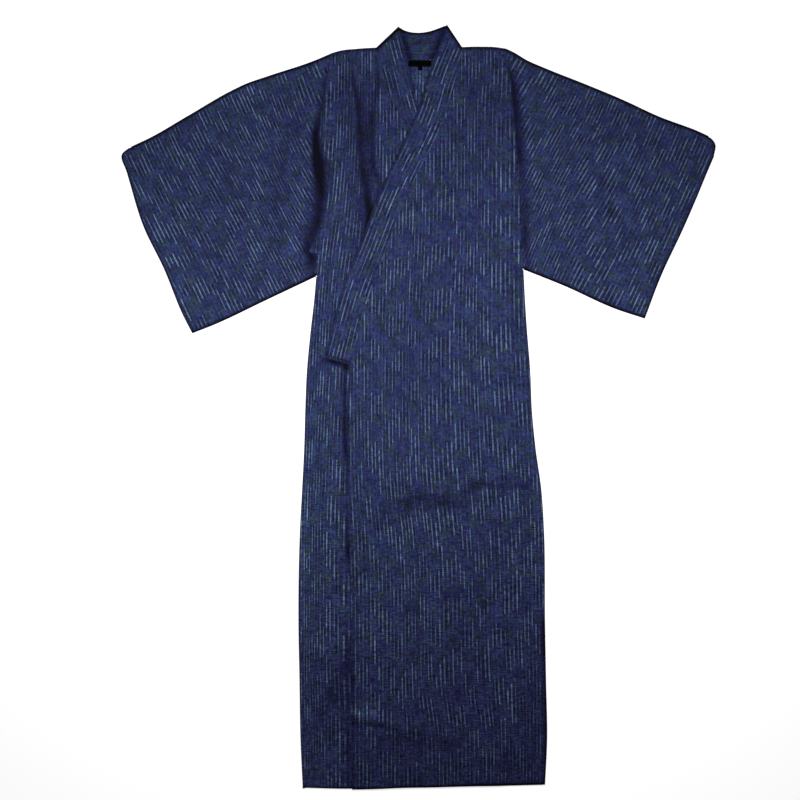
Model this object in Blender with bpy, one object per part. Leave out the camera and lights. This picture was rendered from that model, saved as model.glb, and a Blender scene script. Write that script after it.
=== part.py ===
"""Cotton yukata robe, laid flat on its back with the left front wrapped over the right.

Each sewn piece is one closed solid. A piece is drawn as loops in the plan, a loop is filled with
triangles, and the cloth's height is a function of the place, so that what lies on a panel follows
it. Lengths in the tables are millimetres: x to the right, y from the middle of the length towards
the collar, z up from the surface that the robe lies on. "Left" and "right" are the wearer's own,
so the right half of the robe is on the side of minus x.
"""
import bpy
import bmesh
import math
import numpy as np
from collections import namedtuple
from mathutils import Vector
from mathutils.geometry import delaunay_2d_cdt

# ---------------------------------------------------------------- driving dimensions, millimetres
CLOTH = 1.2            # wall of one layer of cloth
BAND = 2.4             # collar band, the cloth folded double
LABEL = 1.0            # woven label
SEAM_GAP = 0.3         # between pieces that are sewn edge to edge
LAYER_GAP = 0.3        # between a layer and the one that it lies on
LOFT = 3.5             # how far a panel stands off the layer below, away from its edges
SLEEVE_LOFT = 4.5      # the same for the front of a sleeve
LOFT_RUN = 60.0        # over which a panel rises to its loft
FOLD_REACH = 2.1       # from a panel's edge to the outside of the fold that closes it
BAND_FOLD_REACH = 3.0  # the same where the collar band turns over
COVER_REACH = 20.0     # how far past a hidden edge the cloth on it stays at full height
COVER_RUN = 22.0       # over which it then comes down
ARMPIT_NOTCH = 3.0     # the back's armhole ends this far above the armpit
HEM_STEP = 1.5         # how far each lower layer's hem stays inside the one above
EDGE_STEP = 18.0       # spacing of the points along an edge
CELL = (13.5, 17.0)    # finest cell of the grid inside a panel
BEND_TO_SPLIT = ((4, 0.9), (2, 0.7), (1, 0.42))  # cells to a step, and the bend that needs it
WIDEST_STEP = 8        # cells to a step where the cloth is flat
EDGE_CLEARANCE = 5.4   # between an inner point and the edge
FOLD_TRIM = 0.21       # how much shorter a fold is at each end than the seams beside it
BEND_STEPS = 3         # flats round a folded edge
SHARPEST_CORNER = 0.35  # cosine that limits how far an inset moves a sharp corner
FOLD_TAPER = 0.22      # share of a fold's length over which it dies away at each end
HIDDEN_FLAT = 10.0     # cloth stays unfolded this far out from the layer that hides it
HIDDEN_RUN = 36.0      # over which its folds then start
SLEEVE_FLAT = 8.0      # the same for a sleeve, from the armhole
SLEEVE_RUN = 30.0
SIZE_TAB = 0.8         # wall of the size tab
CREASE_ANGLE = 50.0    # degrees between faces that are shaded as an edge
MM = 0.001

Edge = namedtuple("Edge", "x y")
Station = namedtuple("Station", "name y right left")
Fold = namedtuple("Fold", "name x0 y0 x1 y1 bow half_width height")

# ------------------------------------------------------------------ the outline, from neck to hem
SIDES = [
    Station("chest", 204, -198, 203),
    Station("waist", 143, -205, 207),
    Station("belt line", 67, -212, 213),
    Station("hip", -5, -215, 216),
    Station("seat", -77, -217, 223),
    Station("thigh", -157, -221, 234),
    Station("knee", -233, -225, 239),
    Station("calf", -404, -228, 238),
    Station("shin", -518, -226, 241),
    Station("ankle", -632, -224, 243),
    Station("hem", -719, -220, 241),
]
RIGHT_ARMPIT = Edge(-194, 248)
LEFT_ARMPIT = Edge(200, 261)
HEM = [Edge(-220, -724), Edge(-139, -726), Edge(-46, -725), Edge(22, -723), Edge(117, -722),
       Edge(241, -719)]
RIGHT_SHOULDER = [Edge(-80, 683), Edge(-116, 681), Edge(-149, 677), Edge(-166, 672)]
LEFT_SHOULDER = [Edge(83, 684), Edge(117, 685), Edge(146, 684), Edge(167, 681)]
RIGHT_ARMHOLE = [Edge(-166, 672), Edge(-171, 637), Edge(-183, 574), Edge(-191, 521),
                 Edge(-192, 504), Edge(-187, 481), Edge(-169, 455), Edge(-171, 432),
                 Edge(-182, 352), Edge(-187, 325)]
ARMPIT_TUCK = [Edge(-187, 325), Edge(-208, 297), Edge(-202, 292), Edge(-191, 292)]
LEFT_ARMHOLE = [Edge(167, 681), Edge(172, 656), Edge(183, 574), Edge(191, 460), Edge(196, 356),
                Edge(199, 275)]
BACK_SEAM_X = 4.0      # centre-back seam

# ----------------------------------------------------------------------------------- the sleeves
RIGHT_SLEEVE_TOP = [Edge(-166, 672), Edge(-194, 660), Edge(-286, 629), Edge(-329, 614),
                    Edge(-352, 603), Edge(-439, 553), Edge(-510, 512), Edge(-546, 495)]
RIGHT_SLEEVE_CORNER = [Edge(-546, 495), Edge(-563, 480), Edge(-554, 447)]
RIGHT_CUFF = [Edge(-554, 447), Edge(-521, 341), Edge(-484, 265), Edge(-446, 173), Edge(-429, 140)]
RIGHT_SLEEVE_FOOT = [Edge(-429, 140), Edge(-386, 157), Edge(-291, 202), Edge(-194, 248)]
RIGHT_TUCK = [Edge(-179, 262), Edge(-156, 440), Edge(-158, 660)]
LEFT_SLEEVE_TOP = [Edge(167, 681), Edge(182, 674), Edge(205, 660), Edge(239, 645),
                   Edge(317, 614), Edge(389, 584), Edge(456, 553), Edge(535, 523), Edge(552, 515)]
LEFT_SLEEVE_CORNER = [Edge(552, 515), Edge(564, 500), Edge(561, 475)]
LEFT_CUFF = [Edge(561, 475), Edge(549, 447), Edge(530, 401), Edge(504, 341), Edge(461, 249),
             Edge(430, 168)]
LEFT_SLEEVE_FOOT = [Edge(430, 168), Edge(378, 185), Edge(275, 231), Edge(200, 261)]
LEFT_TUCK = [Edge(187, 274), Edge(177, 450), Edge(159, 668)]

# -------------------------------------------------------------- the collar band and the overlaps
BACK_BAND_TOP = [Edge(-38, 723), Edge(-27, 716), Edge(-2, 711), Edge(22, 714), Edge(37, 719),
                 Edge(55, 726)]
NECK_SEAM = [Edge(-80, 683), Edge(-57, 671), Edge(-31, 662), Edge(3, 660), Edge(34, 662),
             Edge(60, 671), Edge(83, 684)]
LEFT_BAND_SEAM = [Edge(83, 684), Edge(74, 631), Edge(36, 517), Edge(-25, 394), Edge(-63, 295),
                  Edge(-96, 200), Edge(-130, 84)]
LEFT_BAND_FREE = [Edge(55, 726), Edge(41, 688), Edge(22, 641), Edge(1, 570), Edge(-54, 451),
                  Edge(-80, 392), Edge(-109, 316), Edge(-143, 228), Edge(-177, 99)]
RIGHT_BAND_SEAM = [Edge(-80, 683), Edge(-67, 622), Edge(-50, 584), Edge(-25, 536), Edge(30, 403),
                   Edge(98, 204), Edge(132, 84)]
RIGHT_BAND_FREE = [Edge(-38, 723), Edge(-27, 679), Edge(-14, 629), Edge(1, 570),
                   Edge(57, 451), Edge(123, 270), Edge(149, 204), Edge(178, 99)]
OVERLAP_TOP = 453.0    # where an overlap's seam runs into the collar band's
LEFT_OVERLAP_SEAM = [Edge(-14, 299), Edge(-21, 219), Edge(-21, 128), Edge(-12, -119),
                     Edge(-2, -290), Edge(0, -461), Edge(3, -720)]
LEFT_OVERLAP_EDGE = [Edge(-130, 84), Edge(-134, 14), Edge(-134, -119), Edge(-131, -290),
                     Edge(-128, -461), Edge(-126, -720)]
RIGHT_OVERLAP_SEAM = [Edge(17, 299), Edge(24, 219), Edge(24, 128), Edge(15, -119),
                      Edge(5, -290), Edge(3, -461), Edge(0, -720)]
RIGHT_OVERLAP_EDGE = [Edge(132, 84), Edge(137, 14), Edge(137, -119), Edge(133, -290),
                      Edge(131, -461), Edge(129, -720)]

# ------------------------------------------------------------------------------------ the labels
LABEL_BOX = (-19.0, 646.5, 25.0, 659.0)
SIZE_TAB_BOX = (-0.5, 639.5, 7.5, 646.5)

# ------------------------------- largest folds: from, to, bow to the left, half width and height
RIGHT_FOLDS = [
    Fold("shoulder hollow", -124, 672, -104, 430, -8, 22, -4.5),
    Fold("shoulder ridge", -150, 668, -132, 420, -6, 20, 3.0),
    Fold("armhole roll", -186, 560, -166, 380, 4, 18, 6.0),
    Fold("side strip", -176, 60, -182, -560, 4, 30, 1.5),
]
LEFT_FOLDS = [
    Fold("chest ridge", 128, 620, 106, 330, 4, 26, 3.0),
    Fold("armhole hollow", 168, 640, 184, 330, 4, 18, -1.5),
    Fold("overlap edge, upper", -134, 74, -136, -110, 0, 22, 3.5),
    Fold("overlap edge, lower", -128, -430, -127, -560, 0, 24, 3.0),
    Fold("lap crease, left", -96, -236, 76, -186, 24, 20, -3.4),
    Fold("lap ridge, left", -98, -204, 70, -150, 22, 24, 2.4),
    Fold("lap crease, right", 56, -174, 222, -140, 8, 19, -3.2),
    Fold("lap ridge, right", 50, -142, 214, -108, 8, 24, 2.0),
    Fold("hem crease", -124, -600, -44, -596, 0, 18, -3.0),
    Fold("hem hollow", -36, -642, 62, -642, 0, 34, -2.5),
]
RIGHT_SLEEVE_FOLDS = [
    Fold("sleeve hollow", -244, 600, -268, 300, 10, 26, -2.5),
    Fold("armhole hollow", -206, 600, -214, 300, 4, 18, -3.0),
    Fold("sleeve ridge", -300, 560, -330, 280, 8, 34, 2.0),
]
LEFT_SLEEVE_FOLDS = [
    Fold("armhole hollow", 196, 600, 214, 300, -6, 18, -3.0),
    Fold("sleeve ridge", 262, 590, 296, 280, -8, 34, 2.0),
]

# ------------------------------------------------------------------ colours: sRGB, then roughness
INDIGO_COTTON = (0.161, 0.192, 0.310)
BLACK_LABEL = (0.035, 0.035, 0.045)
COTTON_ROUGHNESS = 0.9
LABEL_ROUGHNESS = 0.6


# ------------------------------------------------------------------------------- plan geometry
def unit(vector):
    return vector / np.linalg.norm(vector)


def smooth_step(value):
    value = np.clip(value, 0.0, 1.0)
    return value * value * (3.0 - 2.0 * value)


def curve(points, step=EDGE_STEP):
    """A smooth line through the points, with about one sample for each step of its length."""
    knots = np.array([(p[0], p[1]) for p in points], float)
    spans = np.linalg.norm(np.diff(knots, axis=0), axis=1)
    slopes = np.diff(knots, axis=0) / spans[:, None]
    inner = slopes[:-1] * spans[1:, None] + slopes[1:] * spans[:-1, None]
    inner = inner / (spans[:-1] + spans[1:])[:, None]
    tangents = np.vstack([slopes[:1], inner, slopes[-1:]])
    samples = [knots[0]]
    for i, span in enumerate(spans):
        count = max(1, round(span / step))
        for u in np.arange(1, count + 1) / count:
            start = (2 * u**3 - 3 * u**2 + 1) * knots[i]
            end = (3 * u**2 - 2 * u**3) * knots[i + 1]
            leaving = (u**3 - 2 * u**2 + u) * span * tangents[i]
            arriving = (u**3 - u**2) * span * tangents[i + 1]
            samples.append(start + leaving + end + arriving)
    return np.array(samples)


def up_to_height(line, y):
    """The part of a falling line that lies above y, ending exactly there."""
    below = int(np.argmax(line[:, 1] <= y))
    a, b = line[below - 1], line[below]
    cut = a + (b - a) * (a[1] - y) / (a[1] - b[1])
    return np.vstack([line[:below], cut])


def from_height(line, y):
    """The part of a falling line that lies below y, starting exactly there."""
    upper = up_to_height(line, y)
    return np.vstack([upper[-1:], line[len(upper) - 1:]])


def hem_between(x0, x1, inside):
    """The hem from x0 to x1, a step further inside for each layer that covers it."""
    line = curve(HEM)
    count = max(1, round(abs(x1 - x0) / (2 * EDGE_STEP)))
    xs = np.linspace(x0, x1, count + 1)
    return np.column_stack([xs, np.interp(xs, line[:, 0], line[:, 1]) + inside])


def area(loop):
    x, y = loop.T
    return 0.5 * float(np.sum(x * np.roll(y, -1) - y * np.roll(x, -1)))


def distance_to(loop, points, closed=True):
    """How far each point is from a line or loop."""
    starts = loop if closed else loop[:-1]
    ends = np.roll(loop, -1, axis=0) if closed else loop[1:]
    best = np.full(len(points), np.inf)
    for a, b in zip(starts, ends):
        ab = b - a
        along = np.clip((points - a) @ ab / max(ab @ ab, 1e-12), 0.0, 1.0)
        best = np.minimum(best, np.linalg.norm(points - a - along[:, None] * ab, axis=1))
    return best


def is_inside(loop, points):
    inside = np.zeros(len(points), bool)
    for a, b in zip(loop, np.roll(loop, -1, axis=0)):
        if a[1] == b[1]:
            continue
        crosses = (a[1] > points[:, 1]) != (b[1] > points[:, 1])
        x = a[0] + (points[:, 1] - a[1]) * (b[0] - a[0]) / (b[1] - a[1])
        inside ^= crosses & (points[:, 0] < x)
    return inside


def outside_by(loop, points):
    """Distance outside a loop: nought inside it."""
    return np.where(is_inside(loop, points), 0.0, distance_to(loop, points))


# ------------------------------------------------------------------------------ heights of cloth
def relief(folds, points):
    """Sum of soft ridges and hollows, each tapering to nothing at its two ends."""
    total = np.zeros(len(points))
    for fold in folds:
        start = np.array([fold.x0, fold.y0], float)
        end = np.array([fold.x1, fold.y1], float)
        run = end - start
        length = np.linalg.norm(run)
        along = (points - start) @ run / length**2
        left = np.array([-run[1], run[0]]) / length
        bowed = fold.bow * 4.0 * np.clip(along, 0.0, 1.0) * (1.0 - np.clip(along, 0.0, 1.0))
        across = np.abs((points - start) @ left - bowed) / fold.half_width
        profile = np.where(across < 1.0, np.cos(0.5 * math.pi * np.minimum(across, 1.0))**2, 0.0)
        taper = smooth_step(along / FOLD_TAPER) * smooth_step((1.0 - along) / FOLD_TAPER)
        total += fold.height * profile * taper
    return total


def on_cover(ground, covers):
    """Height of the cloth that lies on the ground and is lifted by each (loop, top) under it."""
    def height(points):
        result = np.full(len(points), ground)
        for loop, top in covers:
            share = 1.0 - smooth_step((outside_by(loop, points) - COVER_REACH) / COVER_RUN)
            lifted = top(points) + LAYER_GAP
            result = np.maximum(result, ground + share * (lifted - ground))
        return result
    return height


def flat(height):
    return lambda points: np.full(len(points), height)


# ------------------------------------------------------------------------------- loops and edges
class Outline:
    """A loop in the plan, made of named runs of points. A folded run keeps its own points."""

    def __init__(self, runs, folded=()):
        points = []
        self.spans = {}
        self.folded = folded
        for name, run in runs:
            joined = bool(points) and np.allclose(points[-1], run[0], atol=1e-6)
            first = len(points) - 1 if joined else len(points)
            points.extend(run[1:] if joined else run)
            self.spans[name] = (first, len(points) - 1)
        if np.allclose(points[0], points[-1], atol=1e-6):
            points.pop()
        self.points = np.array(points)
        self.points = self.inset([k for name in folded for k in self.indices(name)])

    def inset(self, kept):
        """All but the kept points, moved inwards by half the gap of a seam."""
        points = self.points
        turn = 1.0 if area(points) > 0 else -1.0
        before = points - np.roll(points, 1, axis=0)
        after = np.roll(points, -1, axis=0) - points
        before = before / np.linalg.norm(before, axis=1)[:, None]
        after = after / np.linalg.norm(after, axis=1)[:, None]
        inward_before = np.column_stack([-before[:, 1], before[:, 0]]) * turn
        inward_after = np.column_stack([-after[:, 1], after[:, 0]]) * turn
        middle = inward_before + inward_after
        middle = middle / np.linalg.norm(middle, axis=1)[:, None]
        stretch = 1.0 / np.maximum(np.sum(middle * inward_after, axis=1), SHARPEST_CORNER)
        moved = points + middle * stretch[:, None] * SEAM_GAP / 2
        moved[kept] = points[kept]
        return moved

    def indices(self, name):
        a, b = self.spans[name]
        count = len(self.points)
        return [k % count for k in range(a, b + 1)]


Bend = namedtuple("Bend", "outside upper lower upper_reach lower_reach")


def folded_edge(line, outward, reach, start=(None, None), end=(None, None)):
    """A folded edge, from the line of its outside in the plan.

    start and end give, for the upper and the lower layer, the direction of the seam that runs
    into that end, which the end of the fold then follows. The inner points of each layer lie a
    reach inside the outside line.
    """
    line = line.copy()
    line[0] += unit(line[1] - line[0]) * FOLD_TRIM
    line[-1] += unit(line[-2] - line[-1]) * FOLD_TRIM
    tangents = np.gradient(line, axis=0)
    tangents = tangents / np.linalg.norm(tangents, axis=1)[:, None]
    normals = np.column_stack([-tangents[:, 1], tangents[:, 0]])
    normals = normals * np.sign(normals @ np.array(outward, float))[:, None]
    reaches = []
    for layer in (0, 1):
        shear = [0.0, 0.0]
        for k, along in ((0, start[layer]), (-1, end[layer])):
            if along is not None:
                direction = unit(np.array(along, float))
                shear[k] = (direction @ tangents[k]) / (direction @ normals[k])
        lean = np.linspace(shear[0], shear[1], len(line))
        reaches.append(reach * (normals + lean[:, None] * tangents))
    return Bend(line, line - reaches[0], line - reaches[1], reaches[0], reaches[1])


# --------------------------------------------------------------------------------- making solids
def grid_inside(loop, height):
    """Inner points of a panel: a coarse grid, halved where the height bends."""
    low = loop.min(axis=0)
    high = loop.max(axis=0)
    cell = np.array(CELL)
    first = np.ceil(low / cell).astype(int)
    last = np.floor(high / cell).astype(int)
    columns, rows = np.meshgrid(np.arange(first[0], last[0] + 1), np.arange(first[1], last[1] + 1))
    index = np.column_stack([columns.ravel(), rows.ravel()])
    points = index * cell
    inside = is_inside(loop, points)
    index, points = index[inside], points[inside]
    keep = np.all(index % WIDEST_STEP == 0, axis=1)
    here = height(points)
    for level, tolerance in BEND_TO_SPLIT:
        bend = np.zeros(len(points))
        for axis in ((1, 0), (0, 1)):
            step = np.array(axis) * cell * level
            both_sides = height(points + step) + height(points - step)
            bend = np.maximum(bend, np.abs(both_sides - 2 * here))
        keep |= np.all(index % level == 0, axis=1) & (bend > tolerance)
    points = points[keep]
    return points[distance_to(loop, points) > EDGE_CLEARANCE]


def triangles(loop, inner):
    corners = [Vector(p) for p in loop] + [Vector(p) for p in inner]
    sides = [(k, (k + 1) % len(loop)) for k in range(len(loop))]
    found = delaunay_2d_cdt(corners, sides, [], 1, 1e-6)
    original = [ids[0] for ids in found[3]]
    return [[original[k] for k in face] for face in found[2]]


class Solid:
    """Collects the layers and folds of one piece and makes its mesh."""

    def __init__(self, name, colour, roughness):
        self.name = name
        self.colour = colour
        self.roughness = roughness
        self.vertices = []
        self.faces = []

    def point(self, x, y, z):
        self.vertices.append((x * MM, y * MM, z * MM))
        return len(self.vertices) - 1

    def layer(self, outline, bottom, thickness):
        """A wall of cloth over the outline. Returns the loop's lower and upper vertices."""
        loop = outline.points
        inner = grid_inside(loop, bottom)
        plan = np.vstack([loop, inner]) if len(inner) else loop
        heights = bottom(plan)
        low = [self.point(x, y, z) for (x, y), z in zip(plan, heights)]
        high = [self.point(x, y, z + thickness) for (x, y), z in zip(plan, heights)]
        for face in triangles(loop, inner):
            self.faces.append([high[k] for k in face])
            self.faces.append([low[k] for k in reversed(face)])
        folded = set()
        for name in outline.folded:
            run = outline.indices(name)
            folded.update(zip(run[:-1], run[1:]))
        for k in range(len(loop)):
            following = (k + 1) % len(loop)
            if (k, following) not in folded:
                self.faces.append([low[k], low[following], high[following], high[k]])
        return low, high

    def fold(self, name, bend, upper, upper_skins, lower, lower_skins, thickness):
        """Joins the same folded run of an upper and a lower layer round a bend."""
        matching = lower.indices(name)
        if not np.allclose(lower.points[matching[0]], bend.lower[0]):
            matching.reverse()
        outer_rows, inner_rows = [], []
        for row, (i, j) in enumerate(zip(upper.indices(name), matching)):
            roof = self.vertices[upper_skins[0][i]][2] / MM
            floor = self.vertices[lower_skins[1][j]][2] / MM
            outer, inner = [upper_skins[1][i]], [upper_skins[0][i]]
            for k in range(1, BEND_STEPS):
                angle = math.pi * (0.5 - k / BEND_STEPS)
                share = 0.5 * (1.0 + math.sin(angle))
                reach = share * bend.upper_reach[row] + (1.0 - share) * bend.lower_reach[row]
                shrink = 1.0 - thickness / np.linalg.norm(reach)
                x, y = bend.outside[row] - reach * (1.0 - math.cos(angle))
                outer.append(self.point(x, y, share * (roof + thickness)))
                x, y = bend.outside[row] - reach * (1.0 - shrink * math.cos(angle))
                inner.append(self.point(x, y, floor + share * (roof - floor)))
            outer_rows.append(outer + [lower_skins[0][j]])
            inner_rows.append(inner + [lower_skins[1][j]])
        for rows in (outer_rows, inner_rows):
            for a, b in zip(rows[:-1], rows[1:]):
                for k in range(BEND_STEPS):
                    self.faces.append([a[k], b[k], b[k + 1], a[k + 1]])
        for end in (0, -1):
            outer, inner = outer_rows[end], inner_rows[end]
            for k in range(BEND_STEPS):
                self.faces.append([outer[k], outer[k + 1], inner[k + 1], inner[k]])

    def make(self):
        mesh = bpy.data.meshes.new(self.name)
        mesh.from_pydata(self.vertices, [], self.faces)
        shape = bmesh.new()
        shape.from_mesh(mesh)
        bmesh.ops.triangulate(shape, faces=shape.faces[:])
        bmesh.ops.recalc_face_normals(shape, faces=shape.faces[:])
        if shape.calc_volume(signed=True) < 0:
            bmesh.ops.reverse_faces(shape, faces=shape.faces[:])
        shape.to_mesh(mesh)
        shape.free()
        mesh.shade_smooth()
        mesh.set_sharp_from_angle(angle=math.radians(CREASE_ANGLE))
        mesh.materials.append(cloth_material(self.name, self.colour, self.roughness))
        piece = bpy.data.objects.new(self.name, mesh)
        bpy.context.collection.objects.link(piece)
        return piece


def linear(value):
    return value / 12.92 if value <= 0.04045 else ((value + 0.055) / 1.055)**2.4


def cloth_material(name, colour, roughness):
    material = bpy.data.materials.new(name + "_cloth")
    material.use_nodes = True
    shader = material.node_tree.nodes["Principled BSDF"]
    shader.inputs["Base Color"].default_value = [linear(c) for c in colour] + [1.0]
    shader.inputs["Roughness"].default_value = roughness
    shader.inputs["Metallic"].default_value = 0.0
    return material


# ------------------------------------------------------------------ lines that pieces share
class Half:
    """The lines and folded edges of one half of the body, from the neck outwards."""

    def __init__(self, shoulder, armhole, tuck, armpit, column, collar_seam, overlap_seam, outward):
        self.seam = collar_seam
        self.outward = outward
        self.armpit = np.array(armpit, float)
        self.armhole = curve(armhole)
        for a, b in zip(tuck[:-1], tuck[1:]):
            self.armhole = np.vstack([self.armhole, curve([a, b])[1:]])
        self.up_front = self.armhole[0] - self.armhole[1]
        self.up_back = self.armhole[0] - self.armpit
        neck = curve(NECK_SEAM)
        neck_end = neck[0] - neck[1] if outward < 0 else neck[-1] - neck[-2]
        self.up_neck = (collar_seam[0] - collar_seam[1], neck_end)
        self.shoulder = folded_edge(curve(shoulder), (0, 1), FOLD_REACH,
                                    self.up_neck, (self.up_front, self.up_back))
        side = curve([armpit] + [Edge(getattr(row, column), row.y) for row in SIDES])
        side[-1, 1] = np.interp(side[-1, 0], *curve(HEM).T)
        self.side = folded_edge(side, (outward, 0), FOLD_REACH)
        top = up_to_height(collar_seam, OVERLAP_TOP)[-1]
        self.overlap_seam = curve([Edge(*top)] + overlap_seam)

    def front(self, inside):
        """From the neck along the shoulder, down the side, along the hem and up to the neck."""
        shoulder, side = self.shoulder.upper, self.side.upper
        hem = hem_between(side[-1, 0], self.overlap_seam[-1, 0], inside)
        hem[0] = side[-1]
        seam = np.vstack([self.overlap_seam[:-1], hem[-1:]])
        collar = up_to_height(self.seam, OVERLAP_TOP)[::-1].copy()
        collar[-1] = shoulder[0]
        armhole = np.vstack([shoulder[-1:], self.armhole[1:], side[:1]])
        return Outline([("shoulder", shoulder), ("armhole", armhole), ("side", side),
                        ("hem", hem), ("overlap", seam[::-1]), ("collar", collar)],
                       folded=("shoulder", "side"))

    def back(self):
        """The same half of the back, whose inner edge is the centre-back seam."""
        shoulder, side = self.shoulder.lower, self.side.lower
        corner = self.armpit + np.array([-self.outward * SEAM_GAP, ARMPIT_NOTCH])
        armhole = np.vstack([curve([shoulder[-1], corner]), side[:1]])
        hem = hem_between(side[-1, 0], BACK_SEAM_X, 2 * HEM_STEP)
        hem[0] = side[-1]
        neck = self.neck_seam()
        neck[0] = shoulder[0]
        centre = curve([hem[-1], neck[-1]])
        return Outline([("shoulder", shoulder), ("armhole", armhole), ("side", side),
                        ("hem", hem), ("centre", centre), ("neck", neck[::-1])],
                       folded=("shoulder", "side"))

    def neck_seam(self):
        """The neck seam from this half's shoulder to the centre-back seam."""
        whole = curve(NECK_SEAM)
        line = whole if self.outward < 0 else whole[::-1]
        line = line[line[:, 0] * self.outward > BACK_SEAM_X * self.outward]
        return np.vstack([line, (BACK_SEAM_X, np.interp(BACK_SEAM_X, *whole.T))])


def overlap_outline(half, edge, inside):
    """The overlap strip, from its top at the collar band round by the hem and the front edge."""
    front = curve(edge)
    hem = hem_between(half.overlap_seam[-1, 0], front[-1, 0], inside)
    seam = np.vstack([half.overlap_seam[:-1], hem[:1]])
    free = np.vstack([hem[-1:], front[:-1][::-1]])
    collar = from_height(half.seam, OVERLAP_TOP)[::-1]
    return Outline([("overlap", seam), ("hem", hem), ("edge", free), ("collar", collar)])


def joined_loop(half, edge):
    """Front and overlap strip together, as one loop."""
    front = curve(edge)
    side = half.side.outside
    hem = hem_between(side[-1, 0], front[-1, 0], 0.0)
    return np.vstack([half.shoulder.outside, half.armhole[1:], side, hem[1:], front[::-1],
                      half.seam[::-1][1:]])


def centre_on_origin(pieces):
    """Puts the middle of the robe's outline over the origin and its underside at nought."""
    corners = np.array([v.co for piece in pieces for v in piece.data.vertices])
    low = corners.min(axis=0)
    high = corners.max(axis=0)
    shift = Vector((-(low[0] + high[0]) / 2, -(low[1] + high[1]) / 2, -low[2]))
    for piece in pieces:
        for vertex in piece.data.vertices:
            vertex.co += shift


# ---------------------------------------------------------------------------------- collar band
Collar = namedtuple("Collar", "back right left right_fold left_fold")


def front_band(name, bend, half, free_points):
    """One front band: from the fold at the neck, down its free edge and back up its seam."""
    free = curve(free_points)
    free[0] = bend.upper[-1]
    seam = half.seam.copy()
    seam[0] = bend.upper[0]
    return Outline([(name, bend.upper), ("free", free), ("end", curve([free[-1], seam[-1]])),
                    ("seam", seam[::-1])], folded=(name,))


def collar_band(right, left):
    """One band that passes behind the neck and is folded over at both sides of it."""
    right_fold = folded_edge(curve([right.seam[0], BACK_BAND_TOP[0]]), (-1, 1), BAND_FOLD_REACH,
                             right.up_neck)
    left_fold = folded_edge(curve([left.seam[0], BACK_BAND_TOP[-1]]), (1, 1), BAND_FOLD_REACH,
                            left.up_neck)
    neck = curve(NECK_SEAM)
    neck[0] = right_fold.lower[0]
    neck[-1] = left_fold.lower[0]
    top = curve(BACK_BAND_TOP)
    top[0] = right_fold.lower[-1]
    top[-1] = left_fold.lower[-1]
    back = Outline([("right_fold", right_fold.lower), ("top", top),
                    ("left_fold", left_fold.lower[::-1]), ("neck", neck[::-1])],
                   folded=("right_fold", "left_fold"))
    return Collar(back, front_band("right_fold", right_fold, right, RIGHT_BAND_FREE),
                  front_band("left_fold", left_fold, left, LEFT_BAND_FREE), right_fold, left_fold)


# --------------------------------------------------------------------------------------- sleeves
Sleeve = namedtuple("Sleeve", "name half front back top foot folds")


def sleeve(name, half, top_points, corner, cuff, foot_points, tuck, folds):
    """A flat tube, open at the cuff, whose front runs on under the edge of the body."""
    cuff_line = curve(cuff)
    down_cuff = cuff_line[-1] - cuff_line[-2]
    top = folded_edge(curve(top_points), (0, 1), FOLD_REACH, (half.up_front, half.up_back))
    foot = folded_edge(curve(foot_points), (0, -1), FOLD_REACH, (down_cuff, down_cuff),
                       (-half.up_back, -half.up_back))
    outlines = []
    inner_edges = (np.vstack([foot.upper[-1:], np.array(tuck, float), top.upper[:1]]),
                   curve([foot.lower[-1], top.lower[0]]))
    for top_edge, foot_edge, inner_edge in zip((top.upper, top.lower), (foot.upper, foot.lower),
                                               inner_edges):
        opening = np.vstack([top_edge[-1:], curve(corner, EDGE_STEP / 2)[1:], cuff_line[1:-1],
                             foot_edge[:1]])
        outlines.append(Outline([("top", top_edge), ("cuff", opening), ("foot", foot_edge),
                                 ("armhole", inner_edge)], folded=("top", "foot")))
    return Sleeve(name, half, outlines[0], outlines[1], top, foot, folds)


# --------------------------------------------------- how high each layer lies on the ones below it
ON_BACK = CLOTH + LAYER_GAP
Heights = namedtuple("Heights", "right_rest left_rest right left")


def rise(loop, points, loft):
    """Height of a panel that stands off the layer below, away from its edges."""
    depth = np.where(is_inside(loop, points), distance_to(loop, points), 0.0)
    return loft * smooth_step(depth / LOFT_RUN)


def body_heights(right, left, collar, right_sleeve, left_sleeve):
    """Right front on the back, left front on both: first as laid flat, then with their folds."""
    left_loop = joined_loop(left, LEFT_OVERLAP_EDGE)
    right_loop = joined_loop(right, RIGHT_OVERLAP_EDGE)
    neck = (collar.back.points, flat(BAND))
    right_rest = on_cover(ON_BACK, [neck, (right_sleeve.front.points, flat(ON_BACK + CLOTH))])
    left_rest = on_cover(ON_BACK, [
        neck, (left_sleeve.front.points, flat(ON_BACK + CLOTH)),
        (right_loop, lambda points: right_rest(points) + CLOTH),
        (collar.right.points, lambda points: right_rest(points) + BAND)])

    def right_height(points):
        uncovered = np.minimum(outside_by(left_loop, points),
                               outside_by(collar.left.points, points))
        shown = smooth_step((uncovered - HIDDEN_FLAT) / HIDDEN_RUN)
        folded = rise(right_loop, points, LOFT) + relief(RIGHT_FOLDS, points)
        return right_rest(points) + np.maximum(0.0, folded * shown)

    def left_height(points):
        folded = rise(left_loop, points, LOFT) + relief(LEFT_FOLDS, points)
        return left_rest(points) + np.maximum(0.0, folded)

    return Heights(right_rest, left_rest, right_height, left_height)


# ------------------------------------------------------------------------------------ the pieces
def cotton(name):
    return Solid(name, INDIGO_COTTON, COTTON_ROUGHNESS)


def make_body(name, half, height, inside):
    """Front and back in one cloth, folded at the shoulder and closed at the side."""
    piece = cotton(name)
    front = half.front(inside)
    back = half.back()
    front_skins = piece.layer(front, height, CLOTH)
    back_skins = piece.layer(back, flat(0.0), CLOTH)
    piece.fold("shoulder", half.shoulder, front, front_skins, back, back_skins, CLOTH)
    piece.fold("side", half.side, front, front_skins, back, back_skins, CLOTH)
    return piece.make()


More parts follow.
